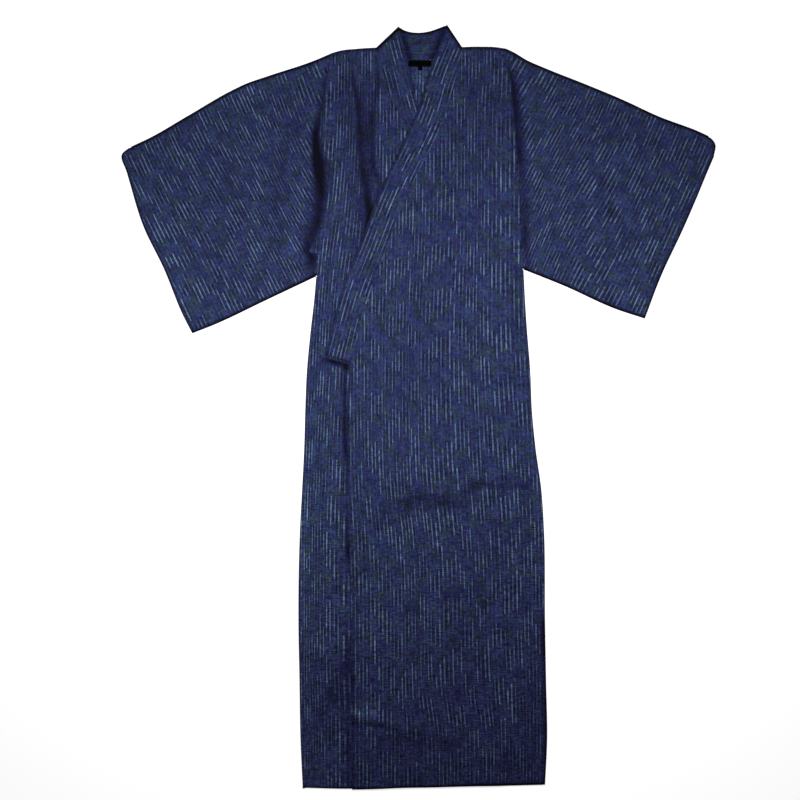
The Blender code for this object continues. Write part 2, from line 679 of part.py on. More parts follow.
def make_overlap(name, half, edge, height, inside):
    piece = cotton(name)
    piece.layer(overlap_outline(half, edge, inside), height, CLOTH)
    return piece.make()


def make_sleeve(plan):
    def height(points):
        from_body = distance_to(plan.half.armhole, points, closed=False)
        free = smooth_step((from_body - SLEEVE_FLAT) / SLEEVE_RUN)
        beyond = is_inside(plan.back.points, points)
        puffed = rise(plan.back.points, points, SLEEVE_LOFT) + relief(plan.folds, points)
        return ON_BACK + np.maximum(0.0, puffed * free * beyond)

    piece = cotton(plan.name)
    front_skins = piece.layer(plan.front, height, CLOTH)
    back_skins = piece.layer(plan.back, flat(0.0), CLOTH)
    piece.fold("top", plan.top, plan.front, front_skins, plan.back, back_skins, CLOTH)
    piece.fold("foot", plan.foot, plan.front, front_skins, plan.back, back_skins, CLOTH)
    return piece.make()


def make_collar(plan, heights):
    piece = cotton("collar")
    back_skins = piece.layer(plan.back, flat(0.0), BAND)
    right_skins = piece.layer(plan.right, heights.right_rest, BAND)
    piece.fold("right_fold", plan.right_fold, plan.right, right_skins, plan.back, back_skins, BAND)
    left_skins = piece.layer(plan.left, heights.left_rest, BAND)
    piece.fold("left_fold", plan.left_fold, plan.left, left_skins, plan.back, back_skins, BAND)
    return piece.make()


def make_label(name, box, wall):
    x0, y0, x1, y1 = box
    piece = Solid(name, BLACK_LABEL, LABEL_ROUGHNESS)
    edge = np.array([(x0, y0), (x1, y0), (x1, y1), (x0, y1), (x0, y0)], float)
    piece.layer(Outline([("edge", edge)]), flat(ON_BACK), wall)
    return piece.make()


def build():
    for old in list(bpy.data.objects):
        bpy.data.objects.remove(old, do_unlink=True)
    right = Half(RIGHT_SHOULDER, RIGHT_ARMHOLE, ARMPIT_TUCK, RIGHT_ARMPIT, "right",
                 curve(RIGHT_BAND_SEAM), RIGHT_OVERLAP_SEAM, -1)
    left = Half(LEFT_SHOULDER, LEFT_ARMHOLE, [], LEFT_ARMPIT, "left",
                curve(LEFT_BAND_SEAM), LEFT_OVERLAP_SEAM, 1)
    collar = collar_band(right, left)
    right_sleeve = sleeve("sleeve_right", right, RIGHT_SLEEVE_TOP, RIGHT_SLEEVE_CORNER, RIGHT_CUFF,
                          RIGHT_SLEEVE_FOOT, RIGHT_TUCK, RIGHT_SLEEVE_FOLDS)
    left_sleeve = sleeve("sleeve_left", left, LEFT_SLEEVE_TOP, LEFT_SLEEVE_CORNER, LEFT_CUFF,
                         LEFT_SLEEVE_FOOT, LEFT_TUCK, LEFT_SLEEVE_FOLDS)
    heights = body_heights(right, left, collar, right_sleeve, left_sleeve)
    centre_on_origin([
        make_body("body_right", right, heights.right, HEM_STEP),
        make_body("body_left", left, heights.left, 0.0),
        make_overlap("overlap_right", right, RIGHT_OVERLAP_EDGE, heights.right, HEM_STEP),
        make_overlap("overlap_left", left, LEFT_OVERLAP_EDGE, heights.left, 0.0),
        make_sleeve(right_sleeve),
        make_sleeve(left_sleeve),
        make_collar(collar, heights),
        make_label("neck_label", LABEL_BOX, LABEL),
        make_label("size_tab", SIZE_TAB_BOX, SIZE_TAB),
    ])


build()
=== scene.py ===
# %% [markdown]
# # A cotton yukata, laid flat
# A yukata is an unlined summer robe. Its cloth comes off the loom about 38 cm wide and is cut
# only into straight lengths, so the robe is a few long panels sewn edge to edge. Here it lies on
# its back with the left front wrapped over the right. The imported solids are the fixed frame, and
# each of them is replaced below by thin cloth that follows the same outline.

# %% Load the frame
import math
import bpy
import bmesh
import numpy as np
from collections import namedtuple
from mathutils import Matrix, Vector
from mathutils.geometry import delaunay_2d_cdt


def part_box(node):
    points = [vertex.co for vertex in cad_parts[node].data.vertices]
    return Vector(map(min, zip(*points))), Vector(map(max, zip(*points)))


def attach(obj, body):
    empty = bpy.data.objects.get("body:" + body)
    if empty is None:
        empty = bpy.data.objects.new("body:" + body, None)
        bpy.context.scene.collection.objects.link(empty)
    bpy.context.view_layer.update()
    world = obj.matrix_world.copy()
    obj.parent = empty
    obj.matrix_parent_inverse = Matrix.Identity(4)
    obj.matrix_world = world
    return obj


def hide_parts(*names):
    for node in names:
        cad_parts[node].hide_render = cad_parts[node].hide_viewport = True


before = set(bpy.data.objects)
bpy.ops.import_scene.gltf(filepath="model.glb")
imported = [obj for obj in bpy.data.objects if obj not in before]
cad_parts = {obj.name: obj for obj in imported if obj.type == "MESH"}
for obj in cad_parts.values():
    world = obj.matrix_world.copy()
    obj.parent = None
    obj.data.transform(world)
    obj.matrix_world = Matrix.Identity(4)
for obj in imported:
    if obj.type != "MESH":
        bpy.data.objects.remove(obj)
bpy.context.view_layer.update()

print("solids:", ", ".join(sorted(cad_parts)))

# %% [markdown]
# ## Camera
# The robe is looked at from straight above, so its outline isn't foreshortened. A long lens
# from a few metres up keeps the raised sleeves and the flat hem at the same scale. The camera
# stands a little to one side of the robe's middle, so the margins are not quite even.

# %% Camera
LENS = 85.0             # mm
SENSOR = 36.0           # mm
VIEW_WIDTH = 1.52       # metres across the picture
VIEW_CENTRE = (-0.0352, 0.0139)

camera = bpy.data.objects.new("camera", bpy.data.cameras.new("camera"))
bpy.context.collection.objects.link(camera)
camera.data.lens = LENS
camera.data.sensor_width = SENSOR
camera.location = (*VIEW_CENTRE, VIEW_WIDTH * LENS / SENSOR)
camera.data.clip_end = 50.0
bpy.context.scene.camera = camera
print("camera height in m:", round(camera.location.z, 3))

# %% [markdown]
# ## The cutter's sizes
# All sizes are millimetres until a mesh is made. The cloth is thinner here than its solid, and
# follows the solid's middle, so every height starts from the solids' own walls and gaps.

# %% Cloth and layers
MM = 0.001
WALL = 0.8              # one layer of cloth as it is shown
BAND = 2.0              # the doubled collar band
SOLID_WALL = 1.2        # one layer in the solids, whose middle the cloth follows
SOLID_BAND = 2.4
LAYER_GAP = 0.3         # between two layers
ON_BACK = SOLID_WALL + LAYER_GAP
SEAM_GAP = 0.12         # between two sewn edges
FOLD_REACH = 2.1        # from a panel's edge to the outside of the fold beside it
BAND_FOLD_REACH = 3.0
FOLD_TRIM = 0.21        # left off either end of a fold
print("two layers and the gap between them in mm:", ON_BACK + SOLID_WALL)

# %% [markdown]
# ## The cutter's lines
# Each edge is a short table of points x, y that a smooth line runs through, as a cutter joins
# chalk marks with a curve. The sides are stations down the length instead, one row for both
# halves. Right and left are the wearer's own, so the right half has minus x.

# %% Lines of the body
Station = namedtuple("Station", "name y right left")
SIDES = [
    Station("chest", 204, -198, 203),
    Station("waist", 143, -205, 207),
    Station("belt line", 67, -212, 213),
    Station("hip", -5, -215, 216),
    Station("seat", -77, -217, 223),
    Station("thigh", -157, -221, 234),
    Station("knee", -233, -225, 239),
    Station("calf", -404, -228, 241),
    Station("shin", -518, -226, 243),
    Station("ankle", -632, -224, 245),
    Station("hem", -719, -220, 241),
]
RIGHT_ARMPIT = (-194, 248)
LEFT_ARMPIT = (200, 261)
HEM = [
    (-220, -724), (-139, -726), (-80, -725), (-34, -723), (22, -722), (98, -720), (160, -719),
    (241, -717)]
RIGHT_SHOULDER = [(-80, 683), (-116, 681), (-149, 677), (-166, 672)]
LEFT_SHOULDER = [(83, 684), (117, 685), (146, 684), (167, 681)]
RIGHT_ARMHOLE = [
    (-166, 672), (-171, 637), (-183, 574), (-191, 521), (-192, 504), (-187, 481), (-169, 455),
    (-171, 432), (-182, 352), (-187, 325)]
ARMPIT_TUCK = [(-187, 325), (-208, 297), (-202, 292), (-191, 292)]
LEFT_ARMHOLE = [(167, 681), (172, 656), (183, 574), (191, 460), (196, 356), (199, 275)]
BACK_SEAM_X = 4.0
print("shoulder to hem in mm:", LEFT_SHOULDER[1][1] - HEM[4][1])

# %% Lines of the sleeves
RIGHT_SLEEVE_TOP = [
    (-166, 672), (-194, 660), (-286, 629), (-329, 614), (-352, 603), (-439, 553), (-510, 512),
    (-546, 495)]
RIGHT_SLEEVE_CORNER = [(-546, 495), (-563, 480), (-554, 447)]
RIGHT_CUFF = [(-554, 447), (-521, 341), (-484, 265), (-446, 173), (-429, 140)]
RIGHT_SLEEVE_FOOT = [(-429, 140), (-386, 157), (-291, 202), (-194, 248)]
RIGHT_TUCK = [(-179, 262), (-156, 440), (-158, 660)]
LEFT_SLEEVE_TOP = [
    (167, 681), (182, 674), (205, 660), (239, 645), (317, 614), (389, 584), (456, 553), (535, 523),
    (552, 515)]
LEFT_SLEEVE_CORNER = [(552, 515), (564, 500), (561, 475)]
LEFT_CUFF = [(561, 475), (549, 447), (530, 401), (504, 341), (461, 249), (430, 168)]
LEFT_SLEEVE_FOOT = [(430, 168), (378, 185), (275, 231), (200, 261)]
LEFT_TUCK = [(187, 274), (177, 450), (159, 668)]
print("spread of the sleeves in mm:", LEFT_SLEEVE_CORNER[1][0] - RIGHT_SLEEVE_CORNER[1][0])

# %% Lines of the collar, overlap strips and label
BACK_BAND_TOP = [(-38, 723), (-27, 716), (-2, 711), (22, 714), (37, 719), (55, 726)]
NECK_SEAM = [(-80, 683), (-57, 671), (-31, 662), (3, 660), (34, 662), (60, 671), (83, 684)]
LEFT_BAND_SEAM = [(83, 684), (74, 631), (36, 517), (-25, 394), (-63, 295), (-96, 200), (-130, 84)]
LEFT_BAND_FREE = [
    (55, 726), (41, 688), (22, 641), (1, 570), (-54, 451), (-80, 392), (-109, 316), (-143, 228),
    (-177, 99)]
RIGHT_BAND_SEAM = [(-80, 683), (-67, 622), (-50, 584), (-25, 536), (30, 403), (98, 204), (132, 84)]
RIGHT_BAND_FREE = [
    (-38, 723), (-27, 679), (-14, 629), (1, 570), (57, 451), (123, 270), (149, 204), (178, 99)]
OVERLAP_TOP = 453.0
LEFT_OVERLAP_SEAM = [
    (-14, 299), (-21, 219), (-21, 128), (-12, -119), (-2, -290), (0, -461), (3, -720)]
LEFT_OVERLAP_EDGE = [(-130, 84), (-134, 14), (-134, -119), (-131, -290), (-128, -461), (-126, -720)]
RIGHT_OVERLAP_SEAM = [(17, 299), (24, 219), (24, 128), (15, -119), (5, -290), (3, -461), (0, -720)]
RIGHT_OVERLAP_EDGE = [(132, 84), (137, 14), (137, -119), (133, -290), (131, -461), (129, -720)]
LABEL_BOX = (-19.0, 646.5, 25.0, 659.0)
SIZE_TAB_BOX = (-0.5, 639.5, 7.5, 646.5)
print("width of the overlap strip at the hem in mm:",
      LEFT_OVERLAP_SEAM[-1][0] - LEFT_OVERLAP_EDGE[-1][0])

# %% [markdown]
# ## Drawing on the table
# A pattern cutter works in the plan, and so does this code. Lines are rows of (x, y). A curve
# object could draw them, but plain rows can be cut, joined and measured with a few lines each.

# %% Lines in the plan
COARSE = 18.0           # spacing of points on a line that only measures
FINE = 5.0              # spacing on a line that becomes an edge of cloth


def unit(vector):
    return vector / np.linalg.norm(vector)


def units(rows):
    return rows / np.linalg.norm(rows, axis=1)[:, None]


def smooth_step(value):
    value = np.clip(value, 0.0, 1.0)
    return value * value * (3.0 - 2.0 * value)


def curve(points, step=FINE):
    """A smooth line through the points."""
    knots = np.array(points, float)
    spans = np.linalg.norm(np.diff(knots, axis=0), axis=1)
    slopes = np.diff(knots, axis=0) / spans[:, None]
    inner = slopes[:-1] * spans[1:, None] + slopes[1:] * spans[:-1, None]
    inner = inner / (spans[:-1] + spans[1:])[:, None]
    tangents = np.vstack([slopes[:1], inner, slopes[-1:]])
    samples = [knots[0]]
    for i, span in enumerate(spans):
        count = max(1, round(span / step))
        for u in np.arange(1, count + 1) / count:
            start = (2 * u**3 - 3 * u**2 + 1) * knots[i]
            end = (3 * u**2 - 2 * u**3) * knots[i + 1]
            leaving = (u**3 - 2 * u**2 + u) * span * tangents[i]
            arriving = (u**3 - u**2) * span * tangents[i + 1]
            samples.append(start + leaving + end + arriving)
    return np.array(samples)


print("points on the hem:", len(curve(HEM)))


# %% Parts of a line
def directions(line):
    """At each point, the way the line runs and the way to its left."""
    tangents = units(np.gradient(line, axis=0))
    return tangents, np.column_stack([-tangents[:, 1], tangents[:, 0]])


def up_to_height(line, y):
    """The part of a falling line above y."""
    below = int(np.argmax(line[:, 1] <= y))
    a, b = line[below - 1], line[below]
    return np.vstack([line[:below], a + (b - a) * (a[1] - y) / (a[1] - b[1])])


def from_height(line, y):
    upper = up_to_height(line, y)
    return np.vstack([upper[-1:], line[len(upper) - 1:]])


def hem_between(x0, x1, inside, step=FINE):
    line = curve(HEM)
    xs = np.linspace(x0, x1, max(1, round(abs(x1 - x0) / step)) + 1)
    return np.column_stack([xs, np.interp(xs, line[:, 0], line[:, 1]) + inside])


print("the hem below the middle in mm:", hem_between(0, 5, 0.0)[0].round(1).tolist())


# %% Measures in the plan
def area(loop):
    x, y = loop.T
    return 0.5 * float(np.sum(x * np.roll(y, -1) - y * np.roll(x, -1)))


def nearest_on(a, b, points):
    """The share of the way from a to b that is nearest to each point, and its offset from there."""
    run = b - a
    share = np.clip((points - a) @ run / max(run @ run, 1e-12), 0.0, 1.0)
    return share, points - a - share[:, None] * run


def distance_to(loop, points, closed=True):
    starts = loop if closed else loop[:-1]
    ends = np.roll(loop, -1, axis=0) if closed else loop[1:]
    best = np.full(len(points), np.inf)
    for a, b in zip(starts, ends):
        apart = nearest_on(a, b, points)[1]
        best = np.minimum(best, np.einsum("ij,ij->i", apart, apart))
    return np.sqrt(best)


def is_inside(loop, points):
    inside = np.zeros(len(points), bool)
    for a, b in zip(loop, np.roll(loop, -1, axis=0)):
        if a[1] != b[1]:
            crosses = (a[1] > points[:, 1]) != (b[1] > points[:, 1])
            x = a[0] + (points[:, 1] - a[1]) * (b[0] - a[0]) / (b[1] - a[1])
            inside ^= crosses & (points[:, 0] < x)
    return inside


def outside_by(loop, points):
    return np.where(is_inside(loop, points), 0.0, distance_to(loop, points))


print("area of the neck opening in mm2:", round(abs(area(curve(NECK_SEAM)))))

# %% [markdown]
# ## Panels and folded edges
# A panel is a loop of named runs, so that a seam or a folded edge can be found again by its name.
# Sewn runs move in by half a seam's gap. Folded runs stay, because the fold joins them to the
# layer below without a gap.

# %% Panels
BUTT = 0.35             # least cosine at a corner when an edge is moved inwards


class Panel:
    """A loop of named runs. All but the folded runs are moved in by half a seam's gap."""

    def __init__(self, runs, folded=()):
        points = []
        self.spans = {}
        for name, run in runs:
            joined = bool(points) and np.allclose(points[-1], run[0], atol=1e-6)
            first = len(points) - 1 if joined else len(points)
            points.extend(run[1:] if joined else run)
            self.spans[name] = (first, len(points) - 1)
        if np.allclose(points[0], points[-1], atol=1e-6):
            points.pop()
        self.points = np.array(points)
        self.kept = [k for name in folded for k in self.indices(name)]
        moved = self.inset(SEAM_GAP / 2)
        moved[self.kept] = self.points[self.kept]
        self.points = moved

    def inset(self, distance):
        points = self.points
        turn = 1.0 if area(points) > 0 else -1.0
        before = units(points - np.roll(points, 1, axis=0))
        after = units(np.roll(points, -1, axis=0) - points)
        inward_before = np.column_stack([-before[:, 1], before[:, 0]]) * turn
        inward_after = np.column_stack([-after[:, 1], after[:, 0]]) * turn
        middle = inward_before + inward_after
        middle = middle / np.maximum(np.linalg.norm(middle, axis=1), 1e-9)[:, None]
        stretch = 1.0 / np.maximum(np.sum(middle * inward_after, axis=1), BUTT)
        return points + middle * stretch[:, None] * distance

    def indices(self, name):
        a, b = self.spans[name]
        return [k % len(self.points) for k in range(a, b + 1)]


square = Panel([("edge", np.array([(0, 0), (100, 0), (100, 100), (0, 100)], float))])
print("a square of 100 mm, sewn all round, keeps in mm2:", round(area(square.points), 1))

# %% Folded edges
Bend = namedtuple("Bend", "outside upper lower upper_reach lower_reach")


def folded_edge(line, outward, reach, start=(None, None), end=(None, None)):
    """The fold that joins an upper and a lower layer, from the line of its outside."""
    line = line.copy()
    line[0] += unit(line[1] - line[0]) * FOLD_TRIM
    line[-1] += unit(line[-2] - line[-1]) * FOLD_TRIM
    tangents, normals = directions(line)
    normals = normals * np.sign(normals @ np.array(outward, float))[:, None]
    reaches = []
    for layer in (0, 1):
        shear = [0.0, 0.0]
        for k, along in ((0, start[layer]), (-1, end[layer])):
            if along is not None:
                direction = unit(np.array(along, float))
                shear[k] = (direction @ tangents[k]) / (direction @ normals[k])
        lean = np.linspace(shear[0], shear[1], len(line))
        reaches.append(reach * (normals + lean[:, None] * tangents))
    return Bend(line, line - reaches[0], line - reaches[1], reaches[0], reaches[1])


print("a shoulder's fold has", len(folded_edge(curve(LEFT_SHOULDER), (0, 1), FOLD_REACH).outside),
      "points")

# %% [markdown]
# ## Half of the body
# A body half is one width of cloth from hem to hem over the shoulder. In the plan it is a front
# and a back panel that share the folded shoulder and the side, with the armhole left open for
# the sleeve.

# %% One half of the body
ARMPIT_NOTCH = 3.0      # how far above the armpit the back's armhole ends
HEM_STEP = 1.5          # each lower layer's hem is this much shorter


class Half:
    """The lines of one half of the body, from the neck outwards."""

    def __init__(self, shoulder, armhole, tuck, armpit, column, collar_seam, overlap_seam, outward,
                 step=FINE):
        self.step = step
        self.seam = collar_seam
        self.outward = outward
        self.armpit = np.array(armpit, float)
        self.armhole = curve(armhole, step)
        for a, b in zip(tuck[:-1], tuck[1:]):
            self.armhole = np.vstack([self.armhole, curve([a, b], step)[1:]])
        self.up_front = self.armhole[0] - self.armhole[1]
        self.up_back = self.armhole[0] - self.armpit
        neck = curve(NECK_SEAM, step)
        neck_end = neck[0] - neck[1] if outward < 0 else neck[-1] - neck[-2]
        self.up_neck = (collar_seam[0] - collar_seam[1], neck_end)
        self.shoulder = folded_edge(curve(shoulder, step), (0, 1), FOLD_REACH,
                                    self.up_neck, (self.up_front, self.up_back))
        side = curve([armpit] + [(getattr(row, column), row.y) for row in SIDES], step)
        side[-1, 1] = np.interp(side[-1, 0], *curve(HEM).T)
        self.side = folded_edge(side, (outward, 0), FOLD_REACH)
        top = up_to_height(collar_seam, OVERLAP_TOP)[-1]
        self.overlap_seam = curve([top] + overlap_seam, step)

    def front(self, inside):
        shoulder, side = self.shoulder.upper, self.side.upper
        hem = hem_between(side[-1, 0], self.overlap_seam[-1, 0], inside, self.step)
        hem[0] = side[-1]
        seam = np.vstack([self.overlap_seam[:-1], hem[-1:]])
        collar = up_to_height(self.seam, OVERLAP_TOP)[::-1].copy()
        collar[-1] = shoulder[0]
        armhole = np.vstack([shoulder[-1:], self.armhole[1:], side[:1]])
        return Panel([("shoulder", shoulder), ("armhole", armhole), ("side", side),
                      ("hem", hem), ("overlap", seam[::-1]), ("collar", collar)],
                     folded=("shoulder", "side"))

    def back(self):
        shoulder, side = self.shoulder.lower, self.side.lower
        corner = self.armpit + np.array([-self.outward * SEAM_GAP, ARMPIT_NOTCH])
        armhole = np.vstack([curve([shoulder[-1], corner], self.step), side[:1]])
        middle = BACK_SEAM_X - self.outward * SEAM_GAP
        hem = hem_between(side[-1, 0], middle, 2 * HEM_STEP, self.step)
        hem[0] = side[-1]
        whole = curve(NECK_SEAM, self.step)
        line = whole if self.outward < 0 else whole[::-1]
        line = line[line[:, 0] * self.outward > middle * self.outward]
        neck = np.vstack([line, (middle, np.interp(middle, *whole.T))])
        neck[0] = shoulder[0]
        return Panel([("shoulder", shoulder), ("armhole", armhole), ("side", side), ("hem", hem),
                      ("centre", curve([hem[-1], neck[-1]], self.step)), ("neck", neck[::-1])],
                     folded=("shoulder", "side"))


print("a half's side runs through", len(SIDES), "stations")


# %% Both halves with their overlap strips
def overlap_panel(half, edge, inside):
    front = curve(edge)
    hem = hem_between(half.overlap_seam[-1, 0], front[-1, 0], inside)
    seam = np.vstack([half.overlap_seam[:-1], hem[:1]])
    free = np.vstack([hem[-1:], front[:-1][::-1]])
    collar = from_height(half.seam, OVERLAP_TOP)[::-1]
    return Panel([("overlap", seam), ("hem", hem), ("edge", free), ("collar", collar)])


def joined_loop(half, edge):
    """Front and overlap strip together, as one coarse loop for measuring."""
    front = curve(edge, COARSE)
    side = half.side.outside
    hem = hem_between(side[-1, 0], front[-1, 0], 0.0, COARSE)
    return np.vstack([half.shoulder.outside, half.armhole[1:], side, hem[1:], front[::-1],
                      half.seam[::-1][1:]])


def right_half(step=FINE):
    return Half(RIGHT_SHOULDER, RIGHT_ARMHOLE, ARMPIT_TUCK, RIGHT_ARMPIT, "right",
                curve(RIGHT_BAND_SEAM, step), RIGHT_OVERLAP_SEAM, -1, step)


def left_half(step=FINE):
    return Half(LEFT_SHOULDER, LEFT_ARMHOLE, [], LEFT_ARMPIT, "left",
                curve(LEFT_BAND_SEAM, step), LEFT_OVERLAP_SEAM, 1, step)


right, left = right_half(), left_half()
coarse_right, coarse_left = right_half(COARSE), left_half(COARSE)
left_loop = joined_loop(coarse_left, LEFT_OVERLAP_EDGE)
right_loop = joined_loop(coarse_right, RIGHT_OVERLAP_EDGE)
print("plan area of a front with its strip in m2:", round(abs(area(left_loop)) * MM**2, 3))

# %% [markdown]
# ## Collar band and sleeves in the plan
# The collar is one long doubled band that passes behind the neck, turns over at both sides of it
# and runs down both fronts. A sleeve is a flat tube. Its front runs on for a finger's width under
# the edge of the body, as the seam allowance does.

# %% Collar band in the plan
Collar = namedtuple("Collar", "back right left right_fold left_fold")


def front_band(name, bend, half, free_points, step):
    free = curve(free_points, step)
    free[0] = bend.upper[-1]
    seam = half.seam.copy()
    seam[0] = bend.upper[0]
    return Panel([(name, bend.upper), ("free", free), ("end", curve([free[-1], seam[-1]], step)),
                  ("seam", seam[::-1])], folded=(name,))


def collar_band(right_side, left_side, step=FINE):
    right_fold = folded_edge(curve([right_side.seam[0], BACK_BAND_TOP[0]], step), (-1, 1),
                             BAND_FOLD_REACH, right_side.up_neck)
    left_fold = folded_edge(curve([left_side.seam[0], BACK_BAND_TOP[-1]], step), (1, 1),
                            BAND_FOLD_REACH, left_side.up_neck)
    neck = curve(NECK_SEAM, step)
    neck[0], neck[-1] = right_fold.lower[0], left_fold.lower[0]
    top = curve(BACK_BAND_TOP, step)
    top[0], top[-1] = right_fold.lower[-1], left_fold.lower[-1]
    back = Panel([("right_fold", right_fold.lower), ("top", top),
                  ("left_fold", left_fold.lower[::-1]), ("neck", neck[::-1])],
                 folded=("right_fold", "left_fold"))
    return Collar(back, front_band("right_fold", right_fold, right_side, RIGHT_BAND_FREE, step),
                  front_band("left_fold", left_fold, left_side, LEFT_BAND_FREE, step),
                  right_fold, left_fold)


collar = collar_band(right, left)
coarse_collar = collar_band(coarse_right, coarse_left, COARSE)
print("plan area of the band in m2:", round(sum(
    abs(area(panel.points)) for panel in (collar.back, collar.right, collar.left)) * MM**2, 3))

# %% Sleeves in the plan
Sleeve = namedtuple("Sleeve", "half front back top foot cuff")


def sleeve(half, top_points, corner, cuff, foot_points, tuck, step=FINE):
    cuff_line = curve(cuff, step)
    down_cuff = cuff_line[-1] - cuff_line[-2]
    top = folded_edge(curve(top_points, step), (0, 1), FOLD_REACH, (half.up_front, half.up_back))
    foot = folded_edge(curve(foot_points, step), (0, -1), FOLD_REACH, (down_cuff, down_cuff),
                       (-half.up_back, -half.up_back))
    panels = []
    inner_edges = (np.vstack([foot.upper[-1:], np.array(tuck, float), top.upper[:1]]),
                   curve([foot.lower[-1], top.lower[0]], step))
    for top_edge, foot_edge, inner_edge in zip((top.upper, top.lower), (foot.upper, foot.lower),
                                               inner_edges):
        opening = np.vstack([top_edge[-1:], curve(corner, step)[1:], cuff_line[1:-1],
                             foot_edge[:1]])
        panels.append(Panel([("top", top_edge), ("cuff", opening), ("foot", foot_edge),
                             ("armhole", inner_edge)], folded=("top", "foot")))
    return Sleeve(half, *panels, top, foot, cuff_line)


RIGHT_SLEEVE = (RIGHT_SLEEVE_TOP, RIGHT_SLEEVE_CORNER, RIGHT_CUFF, RIGHT_SLEEVE_FOOT, RIGHT_TUCK)
LEFT_SLEEVE = (LEFT_SLEEVE_TOP, LEFT_SLEEVE_CORNER, LEFT_CUFF, LEFT_SLEEVE_FOOT, LEFT_TUCK)
right_sleeve = sleeve(right, *RIGHT_SLEEVE)
left_sleeve = sleeve(left, *LEFT_SLEEVE)
coarse_right_sleeve = sleeve(coarse_right, *RIGHT_SLEEVE, COARSE)
coarse_left_sleeve = sleeve(coarse_left, *LEFT_SLEEVE, COARSE)
print("sleeve depth at the cuff in mm:", round(float(np.linalg.norm(
    right_sleeve.cuff[0] - right_sleeve.cuff[-1]))))

# %% [markdown]
# ## Folds of the cloth
# Cotton keeps the creases of its packing and hangs in soft folds from the shoulder seams. Each
# row is one ridge or hollow: where it starts and ends, how far it bows to the left, its half
# width and its height. The largest are in the solids too. The creases are smaller and are here
# alone. They are listed one by one, because a simulation would put them anywhere.

# %% Folds and creases
Fold = namedtuple("Fold", "name x0 y0 x1 y1 bow half_width height")
RIGHT_FOLDS = [
    Fold("side strip", -176, 60, -182, -560, 4, 30, 1.5),
    Fold("collar hollow", -98, 410, -106, 300, 4, 14, -2.2),
    Fold("neck crease", -84, 668, -76, 600, 3, 9, -1.4),
    Fold("chest crease", -112, 640, -92, 500, 3, 9, -1.2),
    Fold("side ripple, upper", -160, 20, -196, -60, 2, 16, 0.8),
    Fold("hem fan, short", -140, -500, -190, -590, 3, 12, 0.9),
]
LEFT_FOLDS = [
    Fold("chest ridge", 128, 620, 106, 330, 4, 26, 3),
    Fold("armhole hollow", 168, 640, 184, 330, 4, 18, -1.5),
    Fold("overlap edge, upper", -134, 74, -136, -110, 0, 22, 3.5),
    Fold("overlap edge, lower", -128, -430, -127, -560, 0, 24, 3),
    Fold("lap ripple, low", -60, -262, 60, -236, 10, 14, -0.9),
    Fold("lap ripple, side", 120, -200, 226, -182, 5, 12, -0.9),
    Fold("overlap fold", -108, -300, -62, -200, 6, 14, 1.2),
    Fold("overlap pull", -116, -90, -60, -190, -6, 13, -1),
    Fold("hem slant, first", -12, -520, 34, -620, 4, 13, 1),
    Fold("hem slant, second", 36, -530, 78, -622, 4, 13, -0.9),
    Fold("hem slant, third", 104, -548, 150, -640, 4, 16, 0.9),
    Fold("hem hollow, side", 130, -610, 214, -650, 4, 26, -1.2),
    Fold("side ripple", 206, -260, 216, -520, -4, 20, 1),
    Fold("chest crease", 70, 560, 88, 420, 3, 14, -0.8),
]
RIGHT_SLEEVE_FOLDS = [
    Fold("sleeve hollow", -244, 600, -268, 300, 10, 26, -2.5),
    Fold("armhole hollow", -206, 600, -214, 300, 4, 18, -3),
    Fold("sleeve ridge", -300, 560, -330, 280, 8, 34, 2),
    Fold("armpit crease", -222, 420, -214, 280, 3, 12, -1.6),
    Fold("sleeve ripple", -380, 520, -400, 260, 10, 26, -0.9),
    Fold("corner fold", -520, 470, -440, 360, 6, 26, 0.8),
]
LEFT_SLEEVE_FOLDS = [
    Fold("armhole hollow", 196, 600, 214, 300, -6, 18, -3),
    Fold("sleeve ridge", 262, 590, 296, 280, -8, 34, 2),
    Fold("armpit crease", 212, 470, 216, 300, -3, 12, -1.4),
    Fold("sleeve ripple", 352, 560, 396, 270, -10, 28, -0.9),
    Fold("corner fold", 520, 490, 450, 380, -6, 26, 0.8),
]
print("folds and creases:", sum(map(len, (
    RIGHT_FOLDS, LEFT_FOLDS, RIGHT_SLEEVE_FOLDS, LEFT_SLEEVE_FOLDS))))

# %% [markdown]
# ## Rolls and tucks that bend
# Where cloth rolls over at an armhole or breaks into a lap, one side of the ridge is steep and the
# other gentle. A fold in the table above is alike on both sides, so such a ridge is a stroke
# instead: rows of x, y, its reach to the left and to the right of the way it runs, and its height
# there. A row with a single reach has it on both sides.

# %% Rolls
RIGHT_ROLLS = {
    "roll at the armhole": [
        (-172, 600, 24, 10, 0), (-177, 560, 26, 11, 5), (-179, 520, 28, 12, 9.5),
        (-176, 488, 28, 13, 10.5), (-163, 462, 26, 11, 9), (-160, 430, 26, 10, 7),
        (-163, 380, 26, 10, 5.5), (-171, 330, 22, 9, 3.5), (-172, 290, 20, 9, 0)],
    "hollow from the shoulder": [
        (-104, 668, 16, 0), (-103, 610, 18, 17, -3.5), (-100, 540, 17, 16, -5.5),
        (-100, 460, 17, -5.5), (-92, 400, 16, 18, -5), (-92, 350, 14, 16, 0)],
    "ridge beside the hollow": [
        (-136, 660, 14, 16, 0), (-134, 600, 14, 16, 2.5), (-132, 500, 14, 18, 3.5),
        (-122, 400, 16, 18, 2.5), (-122, 330, 16, 18, 0)],
    "drop of the strip": [
        (-128, -440, 10, 24, 0), (-150, -474, 12, 30, 2), (-176, -502, 12, 30, 2.2),
        (-214, -538, 10, 24, 0)],
}
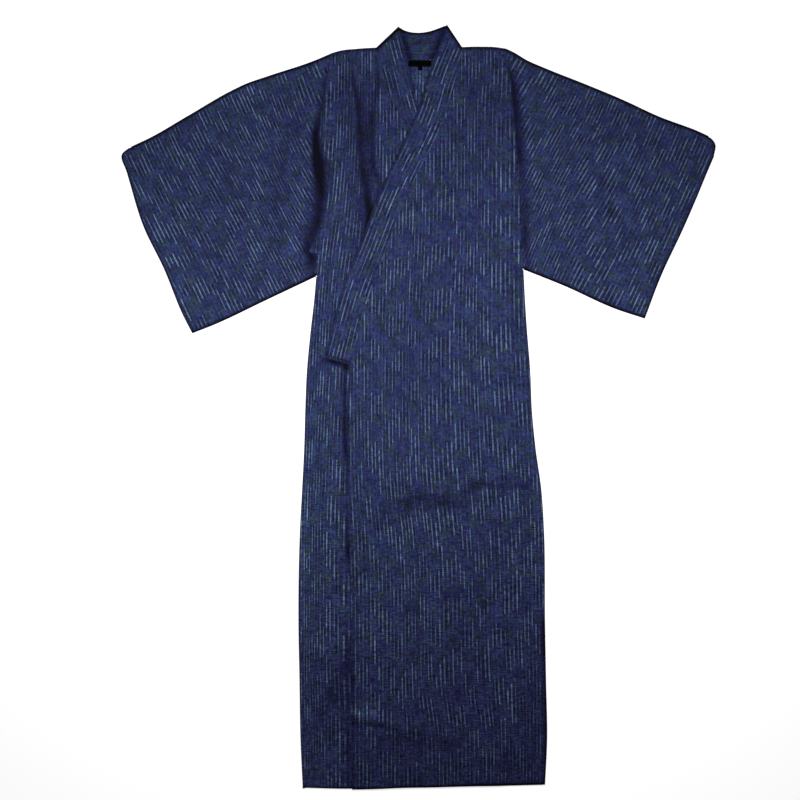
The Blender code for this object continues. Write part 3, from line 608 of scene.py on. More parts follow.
LEFT_ROLLS = {
    "roll at the armhole": [
        (166, 660, 10, 22, 0), (172, 620, 9, 22, 4), (178, 570, 9, 22, 5.5),
        (182, 500, 9, 22, 4.5), (186, 420, 9, 22, 3), (189, 330, 9, 20, 1.8),
        (190, 280, 9, 20, 0)],
    "lap, left of the break": [
        (-84, -182, 30, 12, 0), (-40, -172, 34, 13, 3.6), (10, -160, 34, 13, 5.6),
        (50, -160, 34, 12, 5.6), (84, -170, 30, 12, 0)],
    "lap, right of the break": [
        (66, -152, 28, 12, 0), (92, -142, 30, 10, 4.4), (130, -132, 30, 9, 5),
        (180, -131, 30, 9, 4.4), (216, -134, 28, 9, 2.6), (232, -136, 20, 9, 0)],
    "hem break": [
        (-124, -594, 24, 7, 3), (-96, -595, 26, 7, 4.5), (-66, -598, 26, 9, 3.6),
        (-36, -606, 24, 10, 1.4), (-10, -613, 20, 12, 0)],
    "hem hollow, left": [
        (-80, -640, 22, 0), (-40, -634, 24, -3), (0, -634, 24, 26, -3.4), (30, -640, 20, 0)],
    "hem hollow, middle": [
        (20, -610, 18, 0), (34, -640, 22, -3.2), (60, -650, 24, 22, -3.4), (86, -640, 20, 0)],
}
print("rolls:", len(RIGHT_ROLLS) + len(LEFT_ROLLS))

# %% [markdown]
# ## How high each layer lies
# The panels lie on each other: back, right front, left front, collar. A layer's height
# is the highest thing under it, let down softly past that thing's edge, and on top of that its
# own loft, folds and creases. A little unevenness of the whole cloth keeps it from looking ironed.

# %% Folds and rolls as heights
FOLD_TAPER = 0.22       # share of a fold's length over which it dies away at each end


def relief(folds, points):
    """Sum of soft ridges and hollows, each tapering to nothing at its two ends."""
    total = np.zeros(len(points))
    for fold in folds:
        start = np.array([fold.x0, fold.y0], float)
        run = np.array([fold.x1, fold.y1], float) - start
        length = np.linalg.norm(run)
        along = (points - start) @ run / length**2
        sideways = np.array([-run[1], run[0]]) / length
        bowed = fold.bow * 4.0 * np.clip(along, 0.0, 1.0) * (1.0 - np.clip(along, 0.0, 1.0))
        across = np.abs((points - start) @ sideways - bowed) / fold.half_width
        profile = np.where(across < 1.0, np.cos(0.5 * math.pi * np.minimum(across, 1.0))**2, 0.0)
        taper = smooth_step(along / FOLD_TAPER) * smooth_step((1.0 - along) / FOLD_TAPER)
        total += fold.height * profile * taper
    return total


def stroked(strokes, points):
    """Sum of strokes. Each falls off from its line, by its own reach on either side."""
    total = np.zeros(len(points))
    for name in strokes:
        best = np.full(len(points), np.inf)
        value = np.zeros(len(points))
        rows = np.array([(*row[:3], *row[-2:]) for row in strokes[name]], float)
        for a, b in zip(rows[:-1], rows[1:]):
            share, apart = nearest_on(a[:2], b[:2], points)
            distance = np.linalg.norm(apart, axis=1)
            run = b - a
            row = a[2:] + share[:, None] * run[2:]
            on_left = run[0] * apart[:, 1] > run[1] * apart[:, 0]
            reach = np.where(on_left, row[:, 0], row[:, 1])
            fall = np.cos(0.5 * math.pi * np.minimum(distance / reach, 1.0))**2
            value = np.where(distance < best, row[:, 2] * fall, value)
            best = np.minimum(best, distance)
        total += value
    return total


print("height at the middle of the lap in mm:", round(float(
    stroked(LEFT_ROLLS, np.array([(30.0, -160.0)]))[0]), 1))

# %% Unevenness of the whole cloth
Wave = namedtuple("Wave", "length angle height")
WAVES = [
    Wave(170, 82, 0.30), Wave(130, 38, 0.22), Wave(115, 8, 0.22), Wave(74, 122, 0.16),
    Wave(61, 74, 0.16), Wave(34, 96, 0.08), Wave(29, 64, 0.07)]
BENT_BY = 14.0          # mm by which the waves' crests swing from side to side
BENT_OVER = 97.0        # mm over which they do, for each radian
BENT_FROM = (0.4, 2.1)  # where the swing starts, in radians
NEXT_PHASE = 1.7        # from one wave to the next, so that no crests meet
NEXT_SWELL = 0.9
SWELL = 0.4             # share by which a wave grows and shrinks
SWELL_LENGTH = 1.9      # wave lengths for each radian of that


def unevenness(points):
    """Long shallow waves, bent so that none repeats exactly."""
    total = np.zeros(len(points))
    bent = points + BENT_BY * np.sin(points[:, ::-1] / BENT_OVER + np.array(BENT_FROM))
    for k, wave in enumerate(WAVES):
        angle = math.radians(wave.angle)
        direction = np.array([math.cos(angle), math.sin(angle)])
        phase = 2.0 * math.pi * bent @ direction / wave.length + NEXT_PHASE * k
        swell = np.sin(points @ direction[::-1] / (SWELL_LENGTH * wave.length) + NEXT_SWELL * k)
        total += wave.height * (1.0 - SWELL + SWELL * swell) * np.sin(phase)
    return total


print("unevenness at the middle in mm:", round(float(unevenness(np.zeros((1, 2)))[0]), 2))

# %% What each layer rests on
LOFT = 3.5              # how far a panel stands off the one below
SLEEVE_LOFT = 4.5
LOFT_RUN = 60.0         # from the edge, over which it rises to that
COVER_REACH = 20.0      # cloth stays lifted this far past a hidden edge
COVER_RUN = 22.0        # and comes down over this


def on_cover(ground, covers):
    def height(points):
        result = np.full(len(points), ground)
        for loop, top in covers:
            share = 1.0 - smooth_step((outside_by(loop, points) - COVER_REACH) / COVER_RUN)
            result = np.maximum(result, ground + share * (top(points) + LAYER_GAP - ground))
        return result
    return height


def flat(height):
    return lambda points: np.full(len(points), height)


def rise(loop, points, loft):
    depth = np.where(is_inside(loop, points), distance_to(loop, points), 0.0)
    return smooth_step(depth / LOFT_RUN) * (loft + unevenness(points))


neck_cover = (coarse_collar.back.points, flat(SOLID_BAND))
right_rest = on_cover(ON_BACK, [
    neck_cover, (coarse_right_sleeve.front.points, flat(ON_BACK + SOLID_WALL))])
left_rest = on_cover(ON_BACK, [
    neck_cover, (coarse_left_sleeve.front.points, flat(ON_BACK + SOLID_WALL)),
    (right_loop, lambda points: right_rest(points) + SOLID_WALL),
    (coarse_collar.right.points, lambda points: right_rest(points) + SOLID_BAND)])
print("the left front rests in mm at:", round(float(left_rest(np.zeros((1, 2)))[0]), 2))

# %% Heights of the layers
HIDDEN_FLAT, HIDDEN_RUN = 10.0, 36.0     # hidden cloth stays flat, then its folds start
SLEEVE_FLAT, SLEEVE_RUN = 8.0, 30.0      # the same for a sleeve, from the armhole


def right_height(points):
    uncovered = np.minimum(outside_by(left_loop, points),
                           outside_by(coarse_collar.left.points, points))
    shown = smooth_step((uncovered - HIDDEN_FLAT) / HIDDEN_RUN)
    folded = rise(right_loop, points, LOFT) + relief(RIGHT_FOLDS, points)
    folded = folded + stroked(RIGHT_ROLLS, points)
    return right_rest(points) + np.maximum(0.0, folded * shown)


def left_height(points):
    folded = rise(left_loop, points, LOFT) + relief(LEFT_FOLDS, points)
    folded = folded + stroked(LEFT_ROLLS, points)
    return left_rest(points) + np.maximum(0.0, folded)


def sleeve_height(plan, folds):
    def height(points):
        from_body = distance_to(plan.half.armhole, points, closed=False)
        free = smooth_step((from_body - SLEEVE_FLAT) / SLEEVE_RUN)
        beyond = is_inside(plan.back.points, points)
        puffed = rise(plan.back.points, points, SLEEVE_LOFT) + relief(folds, points)
        return ON_BACK + np.maximum(0.0, puffed * free * beyond)
    return height


print("the left front's middle lies in mm at:", round(float(left_height(np.zeros((1, 2)))[0]), 2))

# %% [markdown]
# ## From plan to cloth
# Woven cloth hardly stretches along its threads, but it gives on the slant. So its stripes stay
# evenly spaced, and they lean where the cloth is pulled. Every point of a surface carries how far
# it is across the cloth and how far along it. Unwrapping would find such a map too, but not in
# real millimetres.

# %% Directions of the weave
Lean = namedtuple("Lean", "name x y reach_x reach_y lean")


def across_the_cloth(points, angle, leans, offset):
    """(across, along) in mm: turned by the angle, then leaned where the cloth is pulled."""
    turn = math.radians(angle)
    across = points @ np.array([math.cos(turn), math.sin(turn)])
    along = points @ np.array([-math.sin(turn), math.cos(turn)])
    for pull in leans:
        near = np.exp(-((points[:, 0] - pull.x) / pull.reach_x)**2)
        across = across - near * pull.lean * pull.reach_y * np.tanh(
            (points[:, 1] - pull.y) / pull.reach_y)
    return np.column_stack([across + offset[0], along + offset[1]])


print("a point 100 mm up, seen by the weave:",
      across_the_cloth(np.array([(0.0, 100.0)]), 0.0, [], (0.0, 0.0))[0].tolist())

# %% [markdown]
# ## Painted light and shade
# Where shade falls, inside a crease, beside an armhole and along a turned edge, the colour is
# painted darker, a painted shade, and where more light falls it is painted lighter. The same kind
# of stroke says where: its last value is the change, painted shade below nought and painted light
# above. It could be painted by hand, but a table can be read, moved with the fold it belongs to,
# and mended.

# %% Painted shadow along the armholes
# painted shadow where the body's edge rolls over the sleeve at each armhole
ALONG_RIGHT_ARMHOLE = [
    (-170, 662, 6, 7, 0), (-175, 630, 7, 8, -0.4), (-182, 588, 8, 9, -0.48),
    (-188, 552, 13, 15, -0.55), (-195, 520, 12, 14, -1.05), (-195, 490, 17, 13, -1.2),
    (-192, 460, 31, 18, -1.25), (-186, 430, 24, 23, -1), (-183, 403, 14, 29, -0.9)]
ALONG_LEFT_ARMHOLE = [
    (166, 656, 6, 5, 0), (172, 640, 10, 6, -0.5), (180, 610, 20, 9, -0.75),
    (183, 580, 22, 11, -0.8), (187, 540, 19, 11, -0.68), (191, 500, 17, 11, -0.72),
    (192, 478, 15, 11, -0.8), (194, 455, 18, 9, -0.5), (198, 400, 20, 8, -0.42),
    (201, 340, 18, 9, -0.68), (203, 300, 16, 9, -0.6), (204, 266, 12, 6, -0.35)]
print("armhole rows:", len(ALONG_RIGHT_ARMHOLE), "and", len(ALONG_LEFT_ARMHOLE))

# %% Painted light and shade on the right front
# painted shade in the hollows, beside the front edge and under the collar's end; painted light on
# the side and the strip
RIGHT_PAINTED_SHADING = {
    "armhole": ALONG_RIGHT_ARMHOLE + [
        (-186, 375, 12, 26, -0.8), (-191, 346, 12, 24, -0.8), (-196, 328, 8, 12, 0)],
    "tuck at the armpit": [(-188, 318, 7, 0), (-194, 304, 8, 10, -0.15), (-203, 297, 8, -0.1)],
    "under the tuck": [
        (-198, 291, 4, 7, -0.4), (-189, 287, 7, 8, -0.8), (-188, 276, 7, 10, -0.6),
        (-190, 262, 7, 10, -0.25), (-192, 248, 6, 8, 0)],
    "front below the shoulder": [
        (-130, 668, 50, 0), (-122, 600, 64, 50, -0.12), (-112, 480, 60, -0.11),
        (-112, 320, 60, -0.1), (-130, 230, 50, -0.07), (-150, 170, 40, 0)],
    "hollow, outer line": [
        (-131, 664, 5, 0), (-126, 635, 7, -0.5), (-119, 600, 8, -0.55), (-114, 560, 9, -0.48),
        (-112, 505, 10, 9, -0.36), (-108, 450, 11, 9, -0.34), (-99, 410, 11, 12, -0.34),
        (-93, 375, 12, -0.5), (-95, 345, 11, 12, -0.45), (-105, 305, 10, 9, 0)],
    "hollow, inner line": [
        (-80, 666, 4, 0), (-78, 640, 7, -0.6), (-76, 612, 7, -0.6), (-80, 585, 8, -0.4),
        (-86, 555, 8, -0.36), (-85, 508, 8, -0.33), (-86, 465, 8, -0.42), (-80, 440, 8, -0.45),
        (-70, 418, 8, -0.45), (-82, 385, 9, 8, -0.42), (-94, 350, 8, -0.38), (-102, 326, 6, 0)],
    "hollow": [
        (-101, 640, 16, 0), (-99, 590, 22, -0.28), (-98, 540, 26, -0.46), (-98, 480, 26, -0.46),
        (-94, 410, 24, 30, -0.38), (-98, 350, 16, 34, -0.36), (-112, 290, 12, 22, 0)],
    "shoulder": [
        (-160, 650, 40, 24, 0), (-148, 600, 50, 26, -0.2), (-136, 530, 44, 26, -0.16),
        (-140, 460, 34, 24, 0)],
    "under the collar's end": [
        (-186, 97, 4, 6, 0), (-174, 92, 5, 10, -0.7), (-160, 87, 5, 14, -1.05),
        (-142, 83, 5, 15, -0.82), (-133, 80, 5, 16, -0.8), (-128, 79, 5, 10, 0)],
    "beside the front edge": [
        (-136, 78, 4, 9, -0.5), (-138, 60, 4, 10, -0.75), (-138, 14, 4, 10, -0.8),
        (-138, -40, 4, 11, -0.9), (-137, -85, 4, 11, -0.9), (-136, -108, 4, 8, -0.35),
        (-135, -200, 4, 8, -0.3), (-134, -240, 4, 10, -0.7), (-132, -275, 4, 13, -0.95),
        (-131, -304, 4, 9, -0.4), (-130, -350, 4, 8, -0.1), (-130, -420, 4, 8, -0.05),
        (-131, -452, 5, 10, -0.4), (-132, -500, 5, 14, -0.5), (-132, -560, 5, 13, -0.5),
        (-131, -620, 5, 11, -0.4), (-130, -724, 5, 10, -0.25)],
    "below the drop": [
        (-136, -452, 5, 8, 0), (-143, -490, 14, 13, -0.46), (-152, -518, 22, 24, -0.34),
        (-164, -548, 28, 44, -0.26), (-172, -590, 34, 44, -0.15), (-174, -660, 40, 0)],
    "beside the band": [
        (-76, 664, 16, 0), (-64, 610, 20, -0.12), (-46, 540, 20, -0.1), (-26, 480, 16, 0)],
    "painted light at the side": [
        (-208, 60, 26, 16, 0), (-214, -40, 26, 16, 0.2), (-220, -170, 28, 18, 0.4),
        (-222, -300, 28, 18, 0.42), (-220, -420, 28, 18, 0.22), (-218, -500, 24, 16, 0.08),
        (-218, -640, 26, 16, 0.26), (-216, -730, 28, 16, 0.34)],
    "painted light on the strip": [
        (-180, 60, 30, 20, 0), (-180, -60, 44, 34, 0.04), (-176, -200, 44, 0.12),
        (-160, -400, 30, 54, 0.2), (-170, -470, 40, 44, 0.08), (-180, -560, 40, 44, 0),
        (-176, -630, 46, 44, 0.1), (-172, -690, 52, 44, 0.3), (-172, -730, 52, 44, 0.42)],
}
print("strokes on the right front:", len(RIGHT_PAINTED_SHADING))

# %% Painted light and shade on the left front
# painted shade below the shoulder, in creases and along the side; painted light at the side and
# above the hem
LEFT_PAINTED_SHADING = {
    "armhole": ALONG_LEFT_ARMHOLE,
    "front down to the lap": [
        (60, 660, 60, 0), (56, 560, 90, -0.08), (60, 400, 100, 90, -0.11),
        (20, 260, 120, 110, -0.1), (0, 180, 120, 110, -0.12), (-6, 60, 110, -0.09),
        (0, -60, 70, 0)],
    "between the lap and the hem": [
        (100, -230, 60, 0), (100, -320, 80, 70, -0.09), (96, -440, 84, 80, -0.14),
        (90, -540, 90, 80, -0.1), (96, -620, 80, 0)],
    "painted light beside the front edge": [
        (-88, -170, 30, 0), (-84, -260, 44, 40, 0.09), (-84, -350, 44, 40, 0.1),
        (-94, -450, 40, 0.14), (-92, -530, 30, 0)],
    "painted light at the side": [
        (206, 30, 26, 16, 0), (214, -60, 26, 16, 0.1), (226, -150, 30, 16, 0.22),
        (232, -230, 30, 16, 0.14), (236, -290, 24, 16, 0)],
    "painted shade at the side": [
        (232, -290, 14, 30, 0), (236, -340, 14, 36, -0.16), (238, -400, 14, 30, -0.1),
        (240, -460, 14, 20, 0)],
    "painted light above the hem edge": [
        (24, -690, 18, 14, 0), (60, -693, 24, 14, 0.15), (140, -693, 24, 14, 0.14),
        (200, -694, 24, 14, 0.12), (226, -694, 16, 12, 0)],
    "shoulder line": [
        (82, 682, 3, 4, 0), (92, 682, 4, 8, -0.15), (160, 680, 4, 8, -0.15),
        (174, 672, 4, 6, -0.2)],
    "below the shoulder": [
        (92, 664, 40, 0), (108, 604, 46, -0.22), (118, 540, 42, -0.18), (124, 470, 32, -0.08),
        (126, 400, 20, 0)],
    "beside the armhole": [
        (152, 664, 12, 24, 0), (160, 610, 16, 30, -0.24), (168, 550, 16, 30, -0.2),
        (174, 480, 14, 26, -0.12), (182, 400, 12, 18, 0)],
    "tuck at the shoulder": [(145, 670, 5, 0), (145, 650, 7, 6, -0.4), (143, 626, 5, 0)],
    "chest crease": [
        (132, 616, 7, 9, 0), (134, 560, 9, -0.13), (136, 460, 9, -0.11), (134, 416, 7, 0)],
    "chest crease, lower": [(110, 414, 7, 0), (108, 360, 10, 9, -0.16), (105, 306, 7, 0)],
}
print("strokes on the left front, down to the lap:", len(LEFT_PAINTED_SHADING))

# %% Painted light and shade at the lap and the hem
# painted shade in the laps, the hem hollows and along the edges; a painted highlight on the ridge
# at the hem
LEFT_PAINTED_SHADING.update({
    "lap, left of the break": [
        (-62, -190, 16, 14, 0), (-38, -188, 28, 22, -0.34), (-18, -184, 28, 25, -0.48),
        (4, -175, 26, 20, -0.36), (30, -178, 24, 20, -0.38), (56, -184, 22, 20, -0.5),
        (76, -190, 18, -0.36), (90, -194, 14, 0)],
    "lap, right of the break": [
        (60, -176, 12, 14, 0), (82, -164, 18, 20, -0.32), (102, -153, 14, -0.5),
        (118, -147, 12, 13, -0.55), (134, -147, 10, 12, -0.58), (152, -150, 10, 12, -0.28),
        (180, -149, 10, 13, -0.42), (208, -149, 10, 12, -0.38), (228, -150, 8, 9, 0)],
    "under the right lap": [
        (66, -184, 12, 16, 0), (92, -176, 14, 18, -0.18), (118, -170, 12, 14, 0)],
    "above the lap": [
        (-86, -145, 12, 0), (-40, -150, 18, 16, -0.17), (0, -152, 18, 16, -0.17),
        (40, -150, 16, -0.12), (72, -146, 12, 0)],
    "below the lap, towards the front edge": [
        (-50, -180, 16, 0), (-66, -200, 20, -0.28), (-80, -226, 20, -0.3), (-94, -262, 14, 0)],
    "below the lap, side": [
        (120, -200, 30, 0), (152, -232, 42, -0.12), (160, -290, 40, -0.08), (150, -350, 30, 0)],
    "hem break": [
        (-130, -601, 5, 7, -0.3), (-100, -601, 5, 7, -0.35), (-72, -604, 5, 8, -0.35),
        (-52, -607, 6, 9, 0)],
    "faded ridge at the hem": [
        (-124, -578, 26, 14, 0.6), (-100, -578, 30, 16, 0.66), (-80, -580, 24, 16, 0.5),
        (-66, -580, 12, 0.15), (-54, -582, 8, 0)],
    "hem hollow, left": [
        (-88, -638, 26, 0), (-60, -640, 36, -0.2), (-20, -636, 36, 38, -0.32),
        (6, -640, 30, 34, -0.16), (14, -640, 30, 0)],
    "hem hollow, middle": [
        (10, -640, 30, 34, -0.2), (40, -644, 36, -0.26), (68, -644, 36, -0.26),
        (80, -642, 30, -0.15), (88, -640, 20, 0)],
    "hem hollow, side": [
        (160, -620, 20, 18, 0), (174, -650, 26, -0.3), (178, -680, 26, -0.28), (170, -712, 20, 0)],
    "side towards the hem": [
        (216, -400, 26, 0), (214, -540, 26, 30, -0.18), (210, -620, 28, 32, -0.14),
        (208, -716, 28, 30, -0.12)],
    "side edge": [
        (239, -392, 4, 9, 0), (240, -410, 4, 13, -0.9), (242, -478, 4, 13, -0.9),
        (243, -500, 4, 10, -0.5), (244, -530, 4, 14, -0.8), (245, -716, 5, 14, -0.85)],
    "hem edge": [
        (40, -721, 6, 4, 0), (60, -719, 11, 4, -0.25), (160, -717, 12, 4, -0.3),
        (244, -715, 13, 5, -0.4)],
    "front edge": [
        (-125, -460, 9, 6, 0), (-124, -520, 10, 6, -0.35), (-122, -560, 10, 7, -0.42),
        (-122, -596, 10, 7, -0.4), (-121, -616, 8, 7, -0.2), (-120, -700, 8, 7, -0.15),
        (-118, -718, 8, 6, 0)],
})
print("strokes on the left front:", len(LEFT_PAINTED_SHADING))

# %% Painted light and shade on the sleeves
# painted shadow by the armholes and painted shade in the hollows; painted light at the top, cuff
# and foot
RIGHT_SLEEVE_PAINTED_SHADING = {
    "armhole": ALONG_RIGHT_ARMHOLE + [
        (-186, 375, 14, 29, -0.82), (-191, 346, 14, 27, -0.85), (-207, 318, 18, 20, -0.68),
        (-211, 299, 18, 16, -0.75), (-201, 284, 22, 18, -0.95), (-204, 266, 22, 24, -0.5),
        (-202, 246, 14, 18, -0.2)],
    "painted light at the top": [
        (-420, 556, 30, 0), (-330, 594, 30, 34, 0.16), (-270, 616, 30, 34, 0.1),
        (-220, 636, 30, 0)],
    "hollow": [
        (-214, 612, 20, 0), (-226, 560, 24, 26, -0.24), (-246, 500, 26, 32, -0.28),
        (-262, 440, 28, 32, -0.3), (-270, 380, 28, 30, -0.26), (-272, 320, 24, 26, -0.16),
        (-268, 270, 18, 0)],
    "middle": [
        (-400, 520, 40, 0), (-382, 470, 50, -0.1), (-356, 400, 50, -0.1), (-330, 330, 40, 0)],
    "painted light at the cuff": [
        (-540, 470, 40, 30, 0), (-520, 400, 60, 30, 0.17), (-488, 320, 64, 30, 0.21),
        (-450, 220, 64, 30, 0.22), (-428, 145, 60, 30, 0.22)],
    "painted light at the foot": [
        (-400, 152, 34, 10, 0), (-350, 182, 36, 12, 0.14), (-290, 208, 34, 12, 0.1),
        (-244, 232, 24, 10, 0)],
}
LEFT_SLEEVE_PAINTED_SHADING = {
    "armhole": ALONG_LEFT_ARMHOLE,
    "below the top": [
        (230, 604, 40, 50, 0), (290, 560, 50, 64, -0.12), (360, 530, 50, 64, -0.12),
        (440, 508, 50, 54, -0.12), (500, 488, 40, 44, -0.08), (534, 470, 30, 0)],
    "painted light at the foot": [
        (290, 254, 50, 30, 0), (350, 236, 64, 30, 0.08), (410, 206, 64, 30, 0.12),
        (440, 180, 50, 30, 0.1)],
    "painted light towards the cuff": [
        (500, 430, 30, 0), (460, 350, 40, 0.1), (410, 244, 44, 40, 0.1), (384, 170, 40, 30, 0.04)],
    "crease to the cuff, upper": [
        (330, 470, 8, 10, 0), (352, 420, 12, 14, -0.14), (372, 372, 10, 12, -0.2),
        (392, 340, 8, 0)],
    "crease to the cuff, lower": [
        (340, 392, 8, 0), (376, 362, 10, -0.2), (404, 322, 10, -0.2), (428, 290, 8, 0)],
}
print("strokes on the sleeves:", len(RIGHT_SLEEVE_PAINTED_SHADING) + len(LEFT_SLEEVE_PAINTED_SHADING))

# %% Painted light and shade on the collar band and in the neck
# painted shade beside the bands, at the top edge and under the left band
BACK_BAND_PAINTED_SHADE = {
    "beside the right band": [
        (-36, 724, 14, 5, -0.5), (-26, 690, 15, 5, -0.75), (-18, 656, 16, 6, -0.85)],
    "top edge": [
        (-40, 724, 4, 6, -0.9), (-27, 716, 4, 6, -0.9), (-2, 711, 4, 6, -0.9),
        (22, 714, 4, 6, -0.9), (37, 719, 4, 5, -0.7), (55, 726, 4, -0.4)],
    "beside the left band": [
        (53, 726, 5, 16, -0.6), (40, 690, 5, 18, -0.8), (26, 656, 6, 18, -0.8)],
}
RIGHT_BAND_PAINTED_SHADE = {
    "top corner": [(-52, 712, 6, 8, -0.6), (-42, 722, 6, 8, -0.9), (-34, 722, 6, -0.9)],
    "under the left band": [
        (-66, 664, 20, 0), (-50, 612, 24, -0.18), (-30, 562, 24, -0.22), (-6, 512, 20, -0.15),
        (10, 480, 14, 0)],
}
LEFT_BAND_PAINTED_SHADE = {
    "down to the lap": [
        (40, 650, 24, 0), (0, 550, 28, -0.11), (-60, 430, 28, -0.12), (-110, 310, 28, -0.07),
        (-130, 240, 24, 0)],
}
# painted light inside the neck
INSIDE_NECK_PAINTED_LIGHT = {
    "faded": [(3, 660, 16, 0.3), (3, 620, 16, 0.4), (3, 570, 16, 0.2), (3, 540, 16, 0)],
}
print("strokes on the band:", sum(map(len, (BACK_BAND_PAINTED_SHADE, RIGHT_BAND_PAINTED_SHADE, LEFT_BAND_PAINTED_SHADE))))

# %% [markdown]
# ## Painted shade at the edges
# A turned edge is two or three layers thick and rounds away from the light, so its colour is
# painted darker in a line as wide as the turning, a painted shade. It runs along every edge of a
# kind, so it
# needs no strokes: the distance from the edge gives it. Pale dashes are painted fainter in painted
# shade and stronger in painted light.

# %% How the painted shade follows the edges
EDGE_REACH = 5.4        # how far in from an edge the painted shade reaches
EDGE_PAINTED_SHADES = {           # run of a panel's edge: how much painted shade at the very edge
    "shoulder": -0.7, "side": -0.1, "top": -1.1, "foot": -1.1, "cuff": -1.1, "hem": -1.6,
    "edge": -0.45, "free": -0.5, "end": -0.5, "right_fold": -1.3, "left_fold": -0.9}
DASHES_FADE = 1.4       # how fast the pale dashes are lost as the painted shade deepens
DASHES_GAIN = 3.2       # and how they stand out where the painted light is strongest
FOLD_PAINTED_SHADE = -0.9         # painted shade on the pressed folds themselves
print("deepest edge:", min(EDGE_PAINTED_SHADES, key=EDGE_PAINTED_SHADES.get))

# %% [markdown]
# ## Cloth out of layers and folds
# A panel's loop is filled with triangles over an even grid, lifted to its height, and joined to
# the next layer round a small half-round fold. The result is one surface with no thickness. The
# edge that is sewn or turned in dips a little, which draws the seam.

# %% Layers of cloth
SHOWN_CELL = 4.0        # grid of a layer that shows
HIDDEN_CELL = 11.0
EDGE_RING = 2.2         # first row of points inside an edge
RING_ROOM = 0.9         # share of that which a point of the row keeps from every edge
GRID_ROOM = 0.35        # share of a cell between that row and the grid
EDGE_DIP = 0.45


def well_inside(loop, points, room):
    points = points[is_inside(loop, points)]
    return points[distance_to(loop, points) > room]


class Cloth:
    """Collects the layers and folds of one piece as a surface with no thickness."""

    def __init__(self, name):
        self.name = name
        self.points = []
        self.places = []
        self.painted_shadings = []
        self.undyed = []
        self.faces = []

    def add(self, plan, heights, places, painted_shadings, undyed):
        first = len(self.points)
        self.points.extend((x, y, z) for (x, y), z in zip(plan, heights))
        self.places.extend(map(tuple, places))
        self.painted_shadings.extend(painted_shadings)
        self.undyed.extend([undyed] * len(plan))
        return list(range(first, len(self.points)))

    def layer(self, panel, middle, chart, cell, dip=0.0, painted_shading=(), undyed=1.0):
        """One layer of cloth, at the height of its middle. Returns the vertices of its loop."""
        loop = panel.points
        low, high = loop.min(axis=0), loop.max(axis=0)
        xs = np.arange(low[0] + cell / 2, high[0], cell)
        ys = np.arange(low[1] + cell / 2, high[1], cell)
        grid = np.array(np.meshgrid(xs, ys)).reshape(2, -1).T
        grid = well_inside(loop, grid, EDGE_RING + GRID_ROOM * cell)
        ring = well_inside(loop, panel.inset(EDGE_RING), RING_ROOM * EDGE_RING)
        plan = np.vstack([loop, ring, grid])
        heights = middle(plan)
        edge = np.ones(len(loop), bool)
        edge[panel.kept] = False
        heights[:len(loop)][edge] -= dip
        # painted light and shade from the strokes, and painted shade along each kind of edge
        painted_shadings = stroked(painted_shading, plan)
        for name in panel.spans:
            far = distance_to(loop[panel.indices(name)], plan, closed=False) / EDGE_REACH
            painted_shadings += EDGE_PAINTED_SHADES.get(name, 0.0) * (1.0 - smooth_step(far))
        ids = self.add(plan, heights, chart(plan), painted_shadings, undyed)
        sides = [(k, (k + 1) % len(loop)) for k in range(len(loop))]
        found = delaunay_2d_cdt([Vector(p) for p in plan], sides, [], 1, 1e-5)
        origin = [found_ids[0] for found_ids in found[3]]
        self.faces.extend([ids[origin[k]] for k in face] for face in found[2])
        return ids[:len(loop)]


print("grid of the cloth that shows in mm:", SHOWN_CELL)

# %% Folds between layers
BEND_STEPS = 5          # flats round a fold
FOLD_UNDYED = 0.5       # share of the pale dashes that still shows on a fold


def fold_round(cloth, name, bend, upper, upper_ids, lower, lower_ids, wall):
    """The half-round strip between the same run of two layers."""
    matching = lower.indices(name)
    if not np.allclose(lower.points[matching[0]], bend.lower[0]):
        matching.reverse()
    rows = []
    for row, (i, j) in enumerate(zip(upper.indices(name), matching)):
        above, below = upper_ids[i], lower_ids[j]
        top, bottom = cloth.points[above][2], cloth.points[below][2]
        strip = [above]
        for k in range(1, BEND_STEPS):
            angle = math.pi * (0.5 - k / BEND_STEPS)
            share = 0.5 * (1.0 + math.sin(angle))
            reach = share * bend.upper_reach[row] + (1.0 - share) * bend.lower_reach[row]
            shrink = 1.0 - 0.5 * wall / np.linalg.norm(reach)
            plan = bend.outside[row] - reach * (1.0 - shrink * math.cos(angle))
            # the fold is painted at least as dark as the folds' painted shade
            strip += cloth.add([plan], [bottom + share * (top - bottom)], [cloth.places[above]],
                               [min(cloth.painted_shadings[above], FOLD_PAINTED_SHADE)], FOLD_UNDYED)
        rows.append(strip + [below])
    for a, b in zip(rows[:-1], rows[1:]):
        for k in range(BEND_STEPS):
            cloth.faces.append([a[k], b[k], b[k + 1], a[k + 1]])


print("degrees between the flats of a fold:", round(180 / BEND_STEPS))

# %% Surface with its weave and its painted light and shade
PAINTED_LIGHT_LIMIT = 2.0


